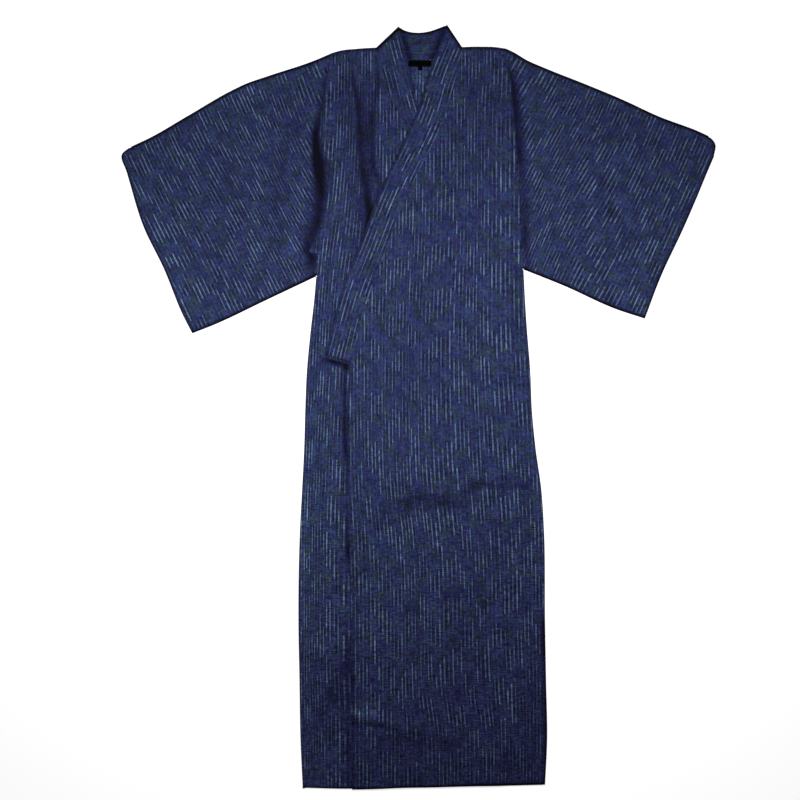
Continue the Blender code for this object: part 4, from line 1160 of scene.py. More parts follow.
def surface_of(cloth):
    """The surface as a Blender mesh in metres, all its faces turned the same way."""
    mesh = bpy.data.meshes.new(cloth.name)
    mesh.from_pydata([(x * MM, y * MM, z * MM) for x, y, z in cloth.points], [], cloth.faces)
    shape = bmesh.new()
    shape.from_mesh(mesh)
    weave = shape.loops.layers.uv.new("weave")
    painted_shading = shape.verts.layers.float.new("painted_shading")
    undyed = shape.verts.layers.float.new("undyed")
    # painted light and shade go to an attribute, and the pale dashes are painted fainter in painted
    # shade and stronger in painted light
    for vertex in shape.verts:
        change = cloth.painted_shadings[vertex.index]
        stand_out = DASHES_FADE * change if change < 0.0 else DASHES_GAIN * change**2
        vertex[painted_shading] = min(1.0 + change, PAINTED_LIGHT_LIMIT)
        vertex[undyed] = cloth.undyed[vertex.index] * max(1.0 + stand_out, 0.0)
    for face in shape.faces:
        for corner in face.loops:
            across, along = cloth.places[corner.vert.index]
            corner[weave].uv = (across * MM, along * MM)
    bmesh.ops.recalc_face_normals(shape, faces=shape.faces[:])
    shape.to_mesh(mesh)
    shape.free()
    return mesh


# painted light and shade scale the cloth's colour
print("dye from nought to", PAINTED_LIGHT_LIMIT, "times the cloth's own light")

# %% [markdown]
# ## A wall for the cloth
# Solidify gives the surface the cloth's wall on both sides, so each piece is a closed shell. A
# bevel rounds the rim where the cloth is thick. The modifiers are then made part of a plain mesh,
# and the sizes of the plan are moved to the place of the solids, which the label's corner tells.

# %% Finished pieces
RIM_ANGLE = 50.0        # degrees between faces that are shaded as an edge
BEVEL_ANGLE = 60.0
SOLID_SEAM_GAP = 0.3


def shell(wall):
    return "SOLIDIFY", dict(thickness=wall * MM, offset=0.0)


def rounded(width, segments):
    return "BEVEL", dict(width=width * MM, segments=segments, limit_method="ANGLE",
                         angle_limit=math.radians(BEVEL_ANGLE))


def made_plain(piece):
    """Replaces the object's mesh by what its modifiers make of it, and removes them."""
    bpy.context.view_layer.update()
    graph = bpy.context.evaluated_depsgraph_get()
    result = bpy.data.meshes.new_from_object(piece.evaluated_get(graph))
    before = piece.data
    piece.modifiers.clear()
    piece.data = result
    bpy.data.meshes.remove(before)
    result.name = piece.name
    result.shade_smooth()
    print(piece.name, len(result.polygons), "faces")
    return result


def finished(name, mesh, *modifiers):
    """A plain mesh object, with its modifiers applied and its place taken from the solids."""
    piece = bpy.data.objects.new(name, mesh)
    bpy.context.collection.objects.link(piece)
    for kind, settings in modifiers:
        modifier = piece.modifiers.new(kind.title(), kind)
        for key, value in settings.items():
            setattr(modifier, key, value)
    result = made_plain(piece)
    result.set_sharp_from_angle(angle=math.radians(RIM_ANGLE))
    for vertex in result.vertices:
        vertex.co += centring
    return piece


label_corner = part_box("neck_label")[0]
centring = Vector((label_corner.x - (LABEL_BOX[0] + SOLID_SEAM_GAP / 2) * MM,
                   label_corner.y - (LABEL_BOX[1] + SOLID_SEAM_GAP / 2) * MM, 0.0))
print("plan to frame in mm:", [round(1000 * v, 2) for v in centring])

# %% [markdown]
# ## Body halves and overlap strips
# Each body half is one length of cloth that comes up the back, over the shoulder and down the
# front. The overlap strip widens the front. One side could be mirrored for the other, but the two
# lie differently once the robe is wrapped, so each has its own lines. The strips' stripes don't
# meet those of the body, because they are cut from another place in the cloth.

# %% Pulls in the fronts
RIGHT_LEANS = [
    Lean("pulled to the armpit", -152, 310, 60, 170, 0.15),
    Lean("side", -196, 0, 50, 130, 0.05),
    Lean("side at the lap", -190, -170, 50, 60, 0.04),
    Lean("towards the hem", -180, -540, 60, 40, -0.04),
]
LEFT_LEANS = [
    Lean("from the collar", 10, 250, 110, 110, 0.05),
    Lean("lap", 20, -200, 190, 105, -0.085),
    Lean("above the hem", 26, -572, 44, 52, -0.15),
    Lean("hem, side", 118, -575, 48, 34, -0.13),
    Lean("side", 160, 20, 90, 130, -0.05),
    Lean("below the lap", -28, -205, 60, 32, -0.07),
    Lean("over the hem", 170, -480, 60, 50, -0.05),
    Lean("under the shoulder", 130, 600, 40, 40, 0.06),
]
print("pulls in the fronts:", len(RIGHT_LEANS) + len(LEFT_LEANS))


# %% Body and overlap strips
def body_chart(leans, offset):
    return lambda points: across_the_cloth(points, 0.0, leans, offset)


def front_and_back(name, front, back, bends, height, chart, painted_shading, back_painted_shading=()):
    """Two layers of one piece of cloth, joined round their folds."""
    cloth = Cloth(name)
    upper = cloth.layer(front, lambda p: height(p) + SOLID_WALL / 2, chart, SHOWN_CELL, EDGE_DIP,
                        painted_shading)
    lower = cloth.layer(back, flat(SOLID_WALL / 2), chart, HIDDEN_CELL, painted_shading=back_painted_shading)
    for run, bend in bends.items():
        fold_round(cloth, run, bend, front, upper, back, lower, SOLID_WALL)
    return finished(name, surface_of(cloth), shell(WALL))


def body_half(name, half, height, inside, chart, painted_shading):
    bends = {"shoulder": half.shoulder, "side": half.side}
    return front_and_back(name, half.front(inside), half.back(), bends, height, chart, painted_shading,
                          INSIDE_NECK_PAINTED_LIGHT)


def overlap_strip(name, half, edge, height, inside, chart, painted_shading=()):
    cloth = Cloth(name)
    cell = SHOWN_CELL if inside == 0.0 else HIDDEN_CELL
    cloth.layer(overlap_panel(half, edge, inside), lambda p: height(p) + SOLID_WALL / 2, chart,
                cell, EDGE_DIP, painted_shading)
    return finished(name, surface_of(cloth), shell(WALL))


pieces = {
    "body_right": body_half("right_body", right, right_height, HEM_STEP,
                            body_chart(RIGHT_LEANS, (0.0, 0.0)), RIGHT_PAINTED_SHADING),
    "body_left": body_half("left_body", left, left_height, 0.0,
                           body_chart(LEFT_LEANS, (5.0, 31.0)), LEFT_PAINTED_SHADING),
    "overlap_right": overlap_strip("right_overlap", right, RIGHT_OVERLAP_EDGE, right_height,
                                   HEM_STEP, body_chart([], (61.0, 12.0))),
    "overlap_left": overlap_strip("left_overlap", left, LEFT_OVERLAP_EDGE, left_height, 0.0,
                                  body_chart(LEFT_LEANS, (83.0, 57.0)), LEFT_PAINTED_SHADING)}

# %% [markdown]
# ## Sleeves
# A sleeve is one width of cloth, folded along its top, sewn along its foot and open at the cuff.
# A squashed tube would be quicker, but its stripes would bend, so two layers are laid and joined
# by folds. The stripes run parallel to the cuff. So on the laid out robe they slant outwards and
# down, and steeper still where the cloth is drawn into the armpit.

# %% Pulls in the sleeves
RIGHT_SLEEVE_LEANS = [
    Lean("drawn to the armpit", -215, 320, 80, 120, -0.13),
    Lean("under the shoulder", -212, 590, 62, 60, 0.13),
    Lean("middle", -330, 440, 190, 140, -0.12),
]
LEFT_SLEEVE_LEANS = [
    Lean("drawn to the armpit", 222, 330, 60, 130, 0.06),
    Lean("shoulder", 285, 500, 75, 130, 0.15),
    Lean("middle", 420, 440, 150, 130, 0.03),
]
SLEEVE_SLANT = 23.0     # degrees between the cuff and the length of the robe
SLEEVE_REPEATS = 1.3    # the sleeves' cloth has its dashes this much closer together
print("pulls in the sleeves:", len(RIGHT_SLEEVE_LEANS) + len(LEFT_SLEEVE_LEANS))


# %% Sleeves
def sleeve_piece(name, plan, coarse, folds, angle, leans, offset, painted_shading):
    def chart(points):
        return across_the_cloth(points, angle, leans, offset) * (1.0, SLEEVE_REPEATS)

    return front_and_back(name, plan.front, plan.back, {"top": plan.top, "foot": plan.foot},
                          sleeve_height(coarse, folds), chart, painted_shading)


pieces["sleeve_right"] = sleeve_piece(
    "right_sleeve", right_sleeve, coarse_right_sleeve, RIGHT_SLEEVE_FOLDS, SLEEVE_SLANT,
    RIGHT_SLEEVE_LEANS, (13.0, 5.0), RIGHT_SLEEVE_PAINTED_SHADING)
pieces["sleeve_left"] = sleeve_piece(
    "left_sleeve", left_sleeve, coarse_left_sleeve, LEFT_SLEEVE_FOLDS, -SLEEVE_SLANT,
    LEFT_SLEEVE_LEANS, (40.0, 71.0), LEFT_SLEEVE_PAINTED_SHADING)

# %% [markdown]
# ## Collar band
# The band is cloth folded double over a stiff strip, so it is thicker than a panel and its edges
# are rounded. A bevel on the rim of the shell gives that.

# %% Stripes along the band
def along_line(line, points):
    """(distance from a line, distance along it) of each point."""
    steps = np.linalg.norm(np.diff(line, axis=0), axis=1)
    begun = np.concatenate([[0.0], np.cumsum(steps)])
    best = np.full(len(points), np.inf)
    along = np.zeros(len(points))
    for k, (a, b) in enumerate(zip(line[:-1], line[1:])):
        share, apart = nearest_on(a, b, points)
        distance = np.linalg.norm(apart, axis=1)
        nearer = distance < best
        best = np.where(nearer, distance, best)
        along = np.where(nearer, begun[k] + share * steps[k], along)
    return np.column_stack([best, along])


def band_chart(edge, offset):
    """Stripes run along the band, side by side from its free edge."""
    line = curve(edge, COARSE)
    return lambda points: along_line(line, points) + np.array(offset)


print("length of the free edge in mm:", round(float(along_line(
    curve(LEFT_BAND_FREE), np.array([LEFT_BAND_FREE[-1]], float))[0, 1])))

# %% Collar band
BAND_ROUNDING = 0.7     # mm
NECK_UNDYED = 0.16      # share of the pale dashes that shows inside the neck, on the weft side
band = Cloth("collar_band")
on_neck = band.layer(collar.back, flat(SOLID_BAND / 2), band_chart(BACK_BAND_TOP, (0.0, 0.0)),
                     SHOWN_CELL, painted_shading=BACK_BAND_PAINTED_SHADE, undyed=NECK_UNDYED)
on_right = band.layer(collar.right, lambda p: right_rest(p) + SOLID_BAND / 2,
                      band_chart(RIGHT_BAND_FREE, (3.0, 20.0)), SHOWN_CELL,
                      painted_shading=RIGHT_BAND_PAINTED_SHADE)
fold_round(band, "right_fold", collar.right_fold, collar.right, on_right, collar.back, on_neck,
           SOLID_BAND)
on_left = band.layer(collar.left, lambda p: left_rest(p) + SOLID_BAND / 2,
                     band_chart(LEFT_BAND_FREE, (55.0, 64.0)), SHOWN_CELL, painted_shading=LEFT_BAND_PAINTED_SHADE)
fold_round(band, "left_fold", collar.left_fold, collar.left, on_left, collar.back, on_neck,
           SOLID_BAND)
pieces["collar"] = finished("collar_band", surface_of(band), shell(BAND), rounded(BAND_ROUNDING, 3))

# %% [markdown]
# ## Label and size tab
# A woven label is sewn below the back of the collar, with a small tab under it. Both are left
# blank. They are flat strips of ribbon whose edges are heat-cut, so they get a small bevel.

# %% Label and size tab
RIBBON = 0.6
RIBBON_CELL = 3.0
RIBBON_ROUNDING = 0.15


def ribbon(name, box, bottom):
    x0, y0, x1, y1 = box
    corners = [(x0, y0), (x1, y0), (x1, y1), (x0, y1)]
    sides = [curve(ends, RIBBON_CELL) for ends in zip(corners, corners[1:] + corners[:1])]
    loop = np.vstack([side[:-1] for side in sides[:-1]] + sides[-1:])
    cloth = Cloth(name)
    cloth.layer(Panel([("edge", loop)]), flat(bottom + RIBBON / 2), lambda points: points,
                RIBBON_CELL)
    return finished(name, surface_of(cloth), shell(RIBBON), rounded(RIBBON_ROUNDING, 2))


pieces["neck_label"] = ribbon("neck_label_ribbon", LABEL_BOX, ON_BACK)
pieces["size_tab"] = ribbon("size_tab_ribbon", SIZE_TAB_BOX, ON_BACK)

# %% [markdown]
# ## Adding nodes
# Stitches, cloth, thread and floor all need trees of nodes, and a tree is read from left to
# right: what feeds a node comes first. One function adds a node of any kind with all that it
# needs, so each line below reads as one node.

# %% One function for every node
def add(tree, kind, *fed, **settings):
    """Adds a node. What is fed goes to its sockets in turn. A setting is one of its properties,
    or a socket by name. A node or an output is linked to its socket, a value is set on it."""
    node = tree.nodes.new(kind)
    for key in [key for key in settings if key in node.bl_rna.properties]:
        setattr(node, key, settings.pop(key))
    open_sockets = [socket for socket in node.inputs if socket.enabled]
    named = [(node.inputs[key.replace("_", " ")], value) for key, value in settings.items()]
    for socket, value in [*zip(open_sockets, fed), *named]:
        if isinstance(value, bpy.types.Node):
            value = next(output for output in value.outputs if output.enabled)
        if isinstance(value, bpy.types.NodeSocket):
            tree.links.new(value, socket)
        else:
            socket.default_value = value
    return node


trial = bpy.data.node_groups.new("trial", "ShaderNodeTree")
print("a node on trial:", add(trial, "ShaderNodeMath", 3.0, 2.0, operation="DIVIDE").operation)
bpy.data.node_groups.remove(trial)

# %% [markdown]
# ## Stitches
# The robe is sewn by hand and machine with thread of its own colour. A row of stitches is one
# small bead of thread repeated along a line, which is work for Geometry Nodes: the line is
# resampled at the pitch, a stitch is put on each point and turned along the line.

# %% Stitch rows with Geometry Nodes
BEAD_SIDES = 6
INPUTS = [              # name, kind and default
    ("Line", "Geometry", None), ("Pitch", "Float", 0.006), ("Stitch length", "Float", 0.003),
    ("Thread", "Float", 0.0004), ("Thread material", "Material", None)]

stitches = bpy.data.node_groups.new("stitch_row", "GeometryNodeTree")
for name, kind, default in INPUTS:
    socket = stitches.interface.new_socket(name, in_out="INPUT",
                                           socket_type="NodeSocket" + kind)
    if default is not None:
        socket.default_value = default
stitches.interface.new_socket("Stitches", in_out="OUTPUT", socket_type="NodeSocketGeometry")

given = add(stitches, "NodeGroupInput").outputs
points = add(stitches, "GeometryNodeResampleCurve",
             add(stitches, "GeometryNodeMeshToCurve", given["Line"]), mode="LENGTH",
             Length=given["Pitch"])
along_it = add(stitches, "FunctionNodeAlignEulerToVector", axis="Z",
               Vector=add(stitches, "GeometryNodeInputTangent"))
bead = add(stitches, "GeometryNodeMeshCylinder", Vertices=BEAD_SIDES, Radius=given["Thread"],
           Depth=given["Stitch length"])
placed = add(stitches, "GeometryNodeInstanceOnPoints", points, Instance=bead, Rotation=along_it)
real = add(stitches, "GeometryNodeRealizeInstances", placed)
coloured = add(stitches, "GeometryNodeSetMaterial", real, Material=given["Thread material"])
add(stitches, "NodeGroupOutput", coloured)
print("nodes in a row of stitches:", len(stitches.nodes))

# %% [markdown]
# ## Colours
# The yarn is dyed with indigo before it is woven, and no two lengths of it take the dye alike. So
# the cloth has a few blues that lie close together, and its pale parts are yarn that was kept out
# of the dye. Every colour is written as a maker would pick it, and turned into linear light once.

# %% Colours
INDIGO = "#32447a"
INDIGO_VIOLET = "#424181"
INDIGO_GREEN = "#394a5f"
INDIGO_DEEP = "#12162f"
UNDYED = "#7086b2"
THREAD = "#4d5a88"
RIBBON_BLACK = "#020203"


def linear(hex_colour, share=1.0):
    """sRGB hex to linear RGB with alpha. A share below one gives a darker tone of it."""
    values = [int(hex_colour[k:k + 2], 16) / 255.0 for k in (1, 3, 5)]
    return [share * (v / 12.92 if v <= 0.04045 else ((v + 0.055) / 1.055)**2.4)
            for v in values] + [1.0]


print("indigo in linear light:", [round(value, 3) for value in linear(INDIGO)[:3]])

# %% [markdown]
# ## Grains of the cloth
# Most of what the eye takes for cloth is unevenness of a certain size: yarns that are deeper for
# a few millimetres, crosswise ribs, patches of dye as wide as a finger. Each is noise that is
# drawn out across or along the cloth. The table holds their sizes, which come from the cloth.

# %% Grains and parts of a finish
MATH, RANGE, MIX = "ShaderNodeMath", "ShaderNodeMapRange", "ShaderNodeMix"
SMOOTH = dict(interpolation_type="SMOOTHSTEP")
Grain = namedtuple("Grain", "across along detail roughness low high", defaults=(0.0, 1.0))
# how many there are in a metre across the cloth and along it, how rough the noise is, and between
# which of its values the grain goes from nothing to full
GRAINS = {
    "wander": Grain(9.0, 2.2, 1.0, 0.5),        # rows of dashes run up and down, 110 x 450 mm
    "threads": Grain(137.0, 95.0, 3.0, 0.65, 0.34, 0.6),   # a thread goes under, 7 x 11 mm
    "mottle": Grain(78.0, 78.0, 2.0, 0.55),     # more violet or more green, 13 mm
    "clouds": Grain(26.0, 26.0, 3.0, 0.6, 0.3, 0.7),       # soft clouds of dye, 38 mm
    "yarns": Grain(280.0, 130.0, 2.0, 0.6, 0.34, 0.68),    # deeper yarns, 4 x 8 mm
    "wefts": Grain(75.0, 420.0, 2.0, 0.5, 0.36, 0.64),     # lines of weft, 13 x 2.4 mm
    "lengths": Grain(62.0, 30.0, 3.0, 0.75, 0.3, 0.7),     # lengths of yarn, 16 x 33 mm
    "ribs": Grain(42.0, 210.0, 2.0, 0.55),      # crinkle, 24 x 5 mm
    "puckers": Grain(75.0, 75.0, 2.0, 0.5),     # between the ribs, 13 mm
    # threads, 1.1 mm: they lie 0.5 mm apart, but that is too fine to show
    "weave": Grain(900.0, 900.0, 1.0, 0.5)}


def new_material(name, **finish):
    """A material, its tree and the sockets of its shader, which hold the finish's values."""
    material = bpy.data.materials.new(name)
    material.use_nodes = True
    sockets = material.node_tree.nodes["Principled BSDF"].inputs
    for key, value in finish.items():
        sockets[key.replace("_", " ")].default_value = value
    return material, material.node_tree, sockets


def grain(tree, weave, name):
    """Noise as large as one of the cloth's grains."""
    size = GRAINS[name]
    drawn_out = add(tree, "ShaderNodeMapping", weave, Scale=(size.across, size.along, 1.0))
    return add(tree, "ShaderNodeTexNoise", drawn_out, Scale=1.0, Detail=size.detail,
               Roughness=size.roughness)


def spots(tree, weave, name, none=0.0, full=1.0):
    """The same grain as spots with soft rims, from one value to another."""
    size = GRAINS[name]
    return add(tree, RANGE, grain(tree, weave, name), size.low, size.high, none, full, **SMOOTH)


def between(tree, value, low, high, softness):
    """One between low and high, nought outside, with soft ends."""
    over = add(tree, MATH, value, low, operation="SUBTRACT")
    under = add(tree, MATH, high, value, operation="SUBTRACT")
    return product(tree, *(add(tree, RANGE, room, 0.0, softness, **SMOOTH)
                           for room in (over, under)))


def product(tree, first, *others):
    """All of them multiplied, one after another."""
    for other in others:
        first = add(tree, MATH, first, other, operation="MULTIPLY")
    return first


print("grains of the cloth:", len(GRAINS))

# %% [markdown]
# ## Columns of dashes
# The pale dashes are undyed threads of the warp, so they stand in columns. Each column starts its
# dashes at its own height. A dyer works from a chart of some columns that repeats across the
# cloth, and so does this material. A picture of the pattern would blur when seen from near.

# %% Columns
COLUMN = 7.3            # mm between columns of dashes
CHART = [               # where each column's dash starts, in shares of the repeat
    0.02, 0.10, 0.05, 0.08, 0.52, 0.60, 0.55, 0.27,
    0.36, 0.30, 0.24, 0.33, 0.74, 0.86, 0.80, 0.11,
    0.20, 0.14, 0.08, 0.55, 0.66, 0.60, 0.92, 0.99,
    0.95, 0.88, 0.97, 0.42, 0.48, 0.38, 0.70, 0.78]

# woven indigo cotton: matt, hardly a sheen, with a dull gleam where fibres stand up
cotton, tree, cotton_shader = new_material(
    "woven indigo cotton", Roughness=0.88, Sheen_Weight=0.07, Sheen_Roughness=0.5,
    Specular_IOR_Level=0.18)
weave = add(tree, "ShaderNodeUVMap", uv_map="weave")
across, along = add(tree, "ShaderNodeSeparateXYZ", weave).outputs[:2]
columns = add(tree, MATH, across, COLUMN * MM, operation="DIVIDE")
column = add(tree, MATH, columns, operation="FLOOR")
within = add(tree, MATH, columns, column, operation="SUBTRACT")
column_draw = add(tree, "ShaderNodeTexWhiteNoise", column, noise_dimensions="1D")
print("the chart repeats every", round(len(CHART) * COLUMN), "mm")

# %% The chart as a ramp with a flat step for each column
turn = add(tree, MATH, column, len(CHART), operation="FLOORED_MODULO")
middle_of_step = add(tree, MATH, turn, 0.5, operation="ADD")
place = add(tree, MATH, middle_of_step, len(CHART), operation="DIVIDE")
chart = add(tree, "ShaderNodeValToRGB", place)
ramp = chart.color_ramp
ramp.interpolation = "CONSTANT"
for k, start in enumerate(CHART):
    step = ramp.elements[k] if k < 2 else ramp.elements.new(0.999)
    step.position = k / len(CHART)
    step.color = (start, start, start, 1.0)
print("steps in the chart:", len(ramp.elements))

# %% [markdown]
# ## Dashes
# A dash is some 50 mm long and a few threads wide. Yarn slips a little on the loom, so rows of
# dashes wander, and single dashes are longer, shorter or fainter than the chart says. White noise
# that is drawn for each dash by its column and its row gives that without a list of dashes.

# %% Dashes along a column
REPEAT = 98.0           # mm along the cloth from one dash to the next
DASH_SHARE = 0.52       # of that is dash
DASH_DRAW = 0.34        # share of the repeat by which either end may come later
DASH_END = 0.03         # share of the repeat over which an end fades
COLUMN_DRIFT = 0.12     # shares of the repeat by which a column may start late
ROW_WANDER = 1.5        # shares by which rows wander over the length of the cloth

drift = add(tree, MATH, column_draw, COLUMN_DRIFT, operation="MULTIPLY")
drift = add(tree, MATH, grain(tree, weave, "wander"), ROW_WANDER, drift,
            operation="MULTIPLY_ADD")
late = add(tree, MATH, chart, drift, operation="ADD")
repeats = add(tree, MATH, along, REPEAT * MM, operation="DIVIDE")
repeats = add(tree, MATH, repeats, late, operation="ADD")
repeat = add(tree, MATH, repeats, operation="FLOOR")
reached = add(tree, MATH, repeats, repeat, operation="SUBTRACT")
dash_name = add(tree, "ShaderNodeCombineXYZ", column, repeat)
dash_draw = add(tree, "ShaderNodeTexWhiteNoise", dash_name, noise_dimensions="2D")
draws = add(tree, "ShaderNodeSeparateColor", dash_draw.outputs["Color"]).outputs
begins = add(tree, MATH, draws[0], DASH_DRAW, operation="MULTIPLY")
ends = add(tree, MATH, draws[1], DASH_DRAW, DASH_SHARE, operation="MULTIPLY_ADD")
dash = between(tree, reached, begins, ends, DASH_END)
print("length of a dash in mm:", round(DASH_SHARE * REPEAT))

# %% Dashes across a column
DASH_WIDTH = 2.3        # mm
DASH_SIDE = 0.9         # mm that its sides fade either way
DASH_MIDDLE = 0.43      # where in the column a dash may lie
MIDDLE_DRAW = 0.14
DASH_STRENGTH = 0.4     # how pale the faintest dash is
STRENGTH_DRAW = 0.55

middle = add(tree, MATH, column_draw, MIDDLE_DRAW, DASH_MIDDLE, operation="MULTIPLY_ADD")
aside = add(tree, MATH, within, middle, operation="SUBTRACT")
aside = add(tree, MATH, aside, operation="ABSOLUTE")
from_middle = add(tree, MATH, aside, COLUMN, operation="MULTIPLY")
line = add(tree, RANGE, from_middle, 0.5 * DASH_WIDTH + DASH_SIDE, 0.5 * DASH_WIDTH - DASH_SIDE,
           **SMOOTH)
strength = add(tree, MATH, draws[2], STRENGTH_DRAW, DASH_STRENGTH, operation="MULTIPLY_ADD")
print("share of a column that is dash:", round(DASH_WIDTH / COLUMN, 2))

# %% [markdown]
# ## Undyed threads
# An undyed thread shows only where it passes over the weft. So a dash is not a pale bar but a row
# of short glints, and some glints show between the dashes too. Towards the hem the cloth has lost
# some of its paleness.

# %% Undyed threads
GLINT = 0.08            # share of an undyed thread that shows between the dashes
UNDER = 0.25            # share of it that shows where it passes under
PALE_DOWN = (-0.5, -0.68, 1.0, 0.82)    # from and to in m above the middle, and the shares there

passes = spots(tree, weave, "threads", UNDER)
shown = add(tree, MATH, product(tree, dash, strength), GLINT, operation="MAXIMUM")
undyed = add(tree, "ShaderNodeAttribute", attribute_name="undyed",
             attribute_type="GEOMETRY").outputs["Fac"]
towards_hem = add(tree, RANGE, along, *PALE_DOWN, **SMOOTH)
pale = product(tree, line, undyed, shown, passes, towards_hem)
print("nodes that draw the dashes:", len(tree.nodes))

# %% [markdown]
# ## Ground and its deeper threads
# Between the dashes the eye sees blue cloth that is never one blue. Each few millimetres lean to
# violet or to green. Yarns that took more dye draw short dark streaks, and the threads on either
# side of a dash are the deepest, as dye gathered there. All of it mixes plain colours by grains.

# %% Ground
VIOLET_FROM, GREEN_FROM, HUE_FULL = 0.42, 0.44, 0.66    # values of the noise
VIOLET_DOWN = (-0.2, -0.6, 0.0, 0.5)    # the lower part leans to violet
GREEN_DOWN = (-0.3, -0.62, 1.0, 0.5)    # and less to green

hues = add(tree, "ShaderNodeSeparateColor",
           grain(tree, weave, "mottle").outputs["Color"]).outputs
violet = add(tree, MATH, add(tree, RANGE, hues[0], VIOLET_FROM, HUE_FULL, **SMOOTH),
             add(tree, RANGE, along, *VIOLET_DOWN, **SMOOTH), operation="ADD")
green = product(tree, add(tree, RANGE, hues[1], GREEN_FROM, HUE_FULL, **SMOOTH),
                add(tree, RANGE, along, *GREEN_DOWN, **SMOOTH))
ground = add(tree, MIX, violet, linear(INDIGO), linear(INDIGO_VIOLET), data_type="RGBA")
ground = add(tree, MIX, green, ground, linear(INDIGO_GREEN), data_type="RGBA")
print("ground mixes", INDIGO, INDIGO_VIOLET, INDIGO_GREEN)

# %% Deeper threads
FLANK = (0.1, 2.3)      # mm beside a dash where the threads are deepest
FLANK_SIDE = 1.0        # mm over which they fade
FLANK_DEPTH = 0.12      # how deep they are beside a gap, and how much more beside a dash
DASH_FLANK_DEPTH = 0.6
STREAK_DEPTH = 0.58
CLOUD_DEPTH = 0.18

flank = between(tree, from_middle, *(0.5 * DASH_WIDTH + away for away in FLANK), FLANK_SIDE)
flank_depth = add(tree, MATH, dash, DASH_FLANK_DEPTH, FLANK_DEPTH, operation="MULTIPLY_ADD")
depth = product(tree, flank, undyed, flank_depth)
depth = add(tree, MATH, spots(tree, weave, "yarns"), STREAK_DEPTH, depth,
            operation="MULTIPLY_ADD")
depth = add(tree, MATH, spots(tree, weave, "clouds"), CLOUD_DEPTH, depth,
            operation="MULTIPLY_ADD")
deep = add(tree, MIX, depth, ground, linear(INDIGO_DEEP), data_type="RGBA")
woven = add(tree, MIX, pale, deep, linear(UNDYED), data_type="RGBA")
print("mixes in the cloth:", sum(node.bl_idname == MIX for node in tree.nodes))

# %% [markdown]
# ## Painted light and shade on the colour
# The strokes and edges above say how much light is painted on, painted shade below one and painted
# light above, and each colour of it changes by a power of its own, so painted shade leans to violet
# and painted light is a little greyer. Weft lines and lengths of yarn, the cloth's own tone, break
# it up.

# %% Painted light and shade on the colour
PATCHES = 0.28          # how much deeper or fainter the dye is from patch to patch
WEFT_DOWN = (0.1, -0.4, 0.17, 0.38)     # the same from weft to weft, more below the waist
LEAST_LIGHT = 0.05
LIGHT_POWERS = (1.15, 1.3, 0.9)     # for red, green and blue

# the painted light and shade, kept above the least light
painted_light_share = add(tree, "ShaderNodeAttribute", attribute_name="painted_shading",
            attribute_type="GEOMETRY").outputs["Fac"]
painted_light_share = add(tree, MATH, painted_light_share, LEAST_LIGHT, operation="MAXIMUM")
patches = spots(tree, weave, "lengths", 1.0 - PATCHES, 1.0 + PATCHES)
weft_depth = add(tree, RANGE, along, *WEFT_DOWN, **SMOOTH)
weft = add(tree, MATH, spots(tree, weave, "wefts", -1.0, 1.0), weft_depth, 1.0,
           operation="MULTIPLY_ADD")
# painted light and shade, times the cloth's own patches and weft lines
light = product(tree, painted_light_share, patches, weft)
lights = add(tree, "ShaderNodeCombineXYZ",
             *(add(tree, MATH, light, power, operation="POWER") for power in LIGHT_POWERS))
dyed = add(tree, "ShaderNodeVectorMath", woven, lights, operation="MULTIPLY")
tree.links.new(dyed.outputs[0], cotton_shader["Base Color"])
# how much of each colour a painted shade of half the light keeps
print("a dye of half the light keeps of red, green and blue:",
      [round(0.5**power, 2) for power in LIGHT_POWERS])

# %% [markdown]
# ## Crinkle
# Such cotton is washed without pressing, and the weft shrinks into short ribs across the cloth, a
# few millimetres apart. They are lower than the cloth is thick, so a bump shows them as well as
# geometry would, for none of its faces.

# %% Crinkle
CRINKLE_HEIGHT = 0.0009     # m
CRINKLE_STRENGTH = 0.6
PUCKER_SHARE = 0.6
WEAVE_SHARE = 0.18

surface = add(tree, MATH, grain(tree, weave, "puckers"), PUCKER_SHARE,
              grain(tree, weave, "ribs"), operation="MULTIPLY_ADD")
surface = add(tree, MATH, grain(tree, weave, "weave"), WEAVE_SHARE, surface,
              operation="MULTIPLY_ADD")
bump = add(tree, "ShaderNodeBump", Height=surface, Strength=CRINKLE_STRENGTH,
           Distance=CRINKLE_HEIGHT)
tree.links.new(bump.outputs[0], cotton_shader["Normal"])
print("nodes in the cotton:", len(tree.nodes))

# %% [markdown]
# ## Thread and ribbon
# Sewing thread is twisted, and the twist breaks its colour into lighter and darker slants. The
# label's satin ribbon is black with fine ribs along it, which catch a little light. Both are too
# small to need more than one noise or one wave.

# %% Thread
TWISTS = 1800.0         # in a metre
TWIST_SHADE = 0.6       # light of a twist's dark side


def sewing_thread(name, colour, roughness):
    # twisted cotton: lighter and darker by turns, drawn coarser than a twist of 0.3 mm to show
    material, tree, shader = new_material(name, Roughness=roughness)
    where = add(tree, "ShaderNodeTexCoord").outputs["Object"]
    twist = add(tree, "ShaderNodeTexNoise", where, Scale=TWISTS, Detail=1.0)
    shade = add(tree, MIX, twist, linear(colour), linear(colour, TWIST_SHADE), data_type="RGBA")
    tree.links.new(shade.outputs["Result"], shader["Base Color"])
    return material


thread = sewing_thread("indigo sewing thread", THREAD, 0.7)
black_thread = sewing_thread("black sewing thread", RIBBON_BLACK, 0.6)
print("threads:", thread.name, "and", black_thread.name)

# %% Ribbon
RIB_SCALE = 400.0       # a wave has 20 radians to a unit, so this puts a rib every 0.8 mm
RIB_HEIGHT = 0.0002     # m
RIB_SHINE = 1.5         # light of a rib's top

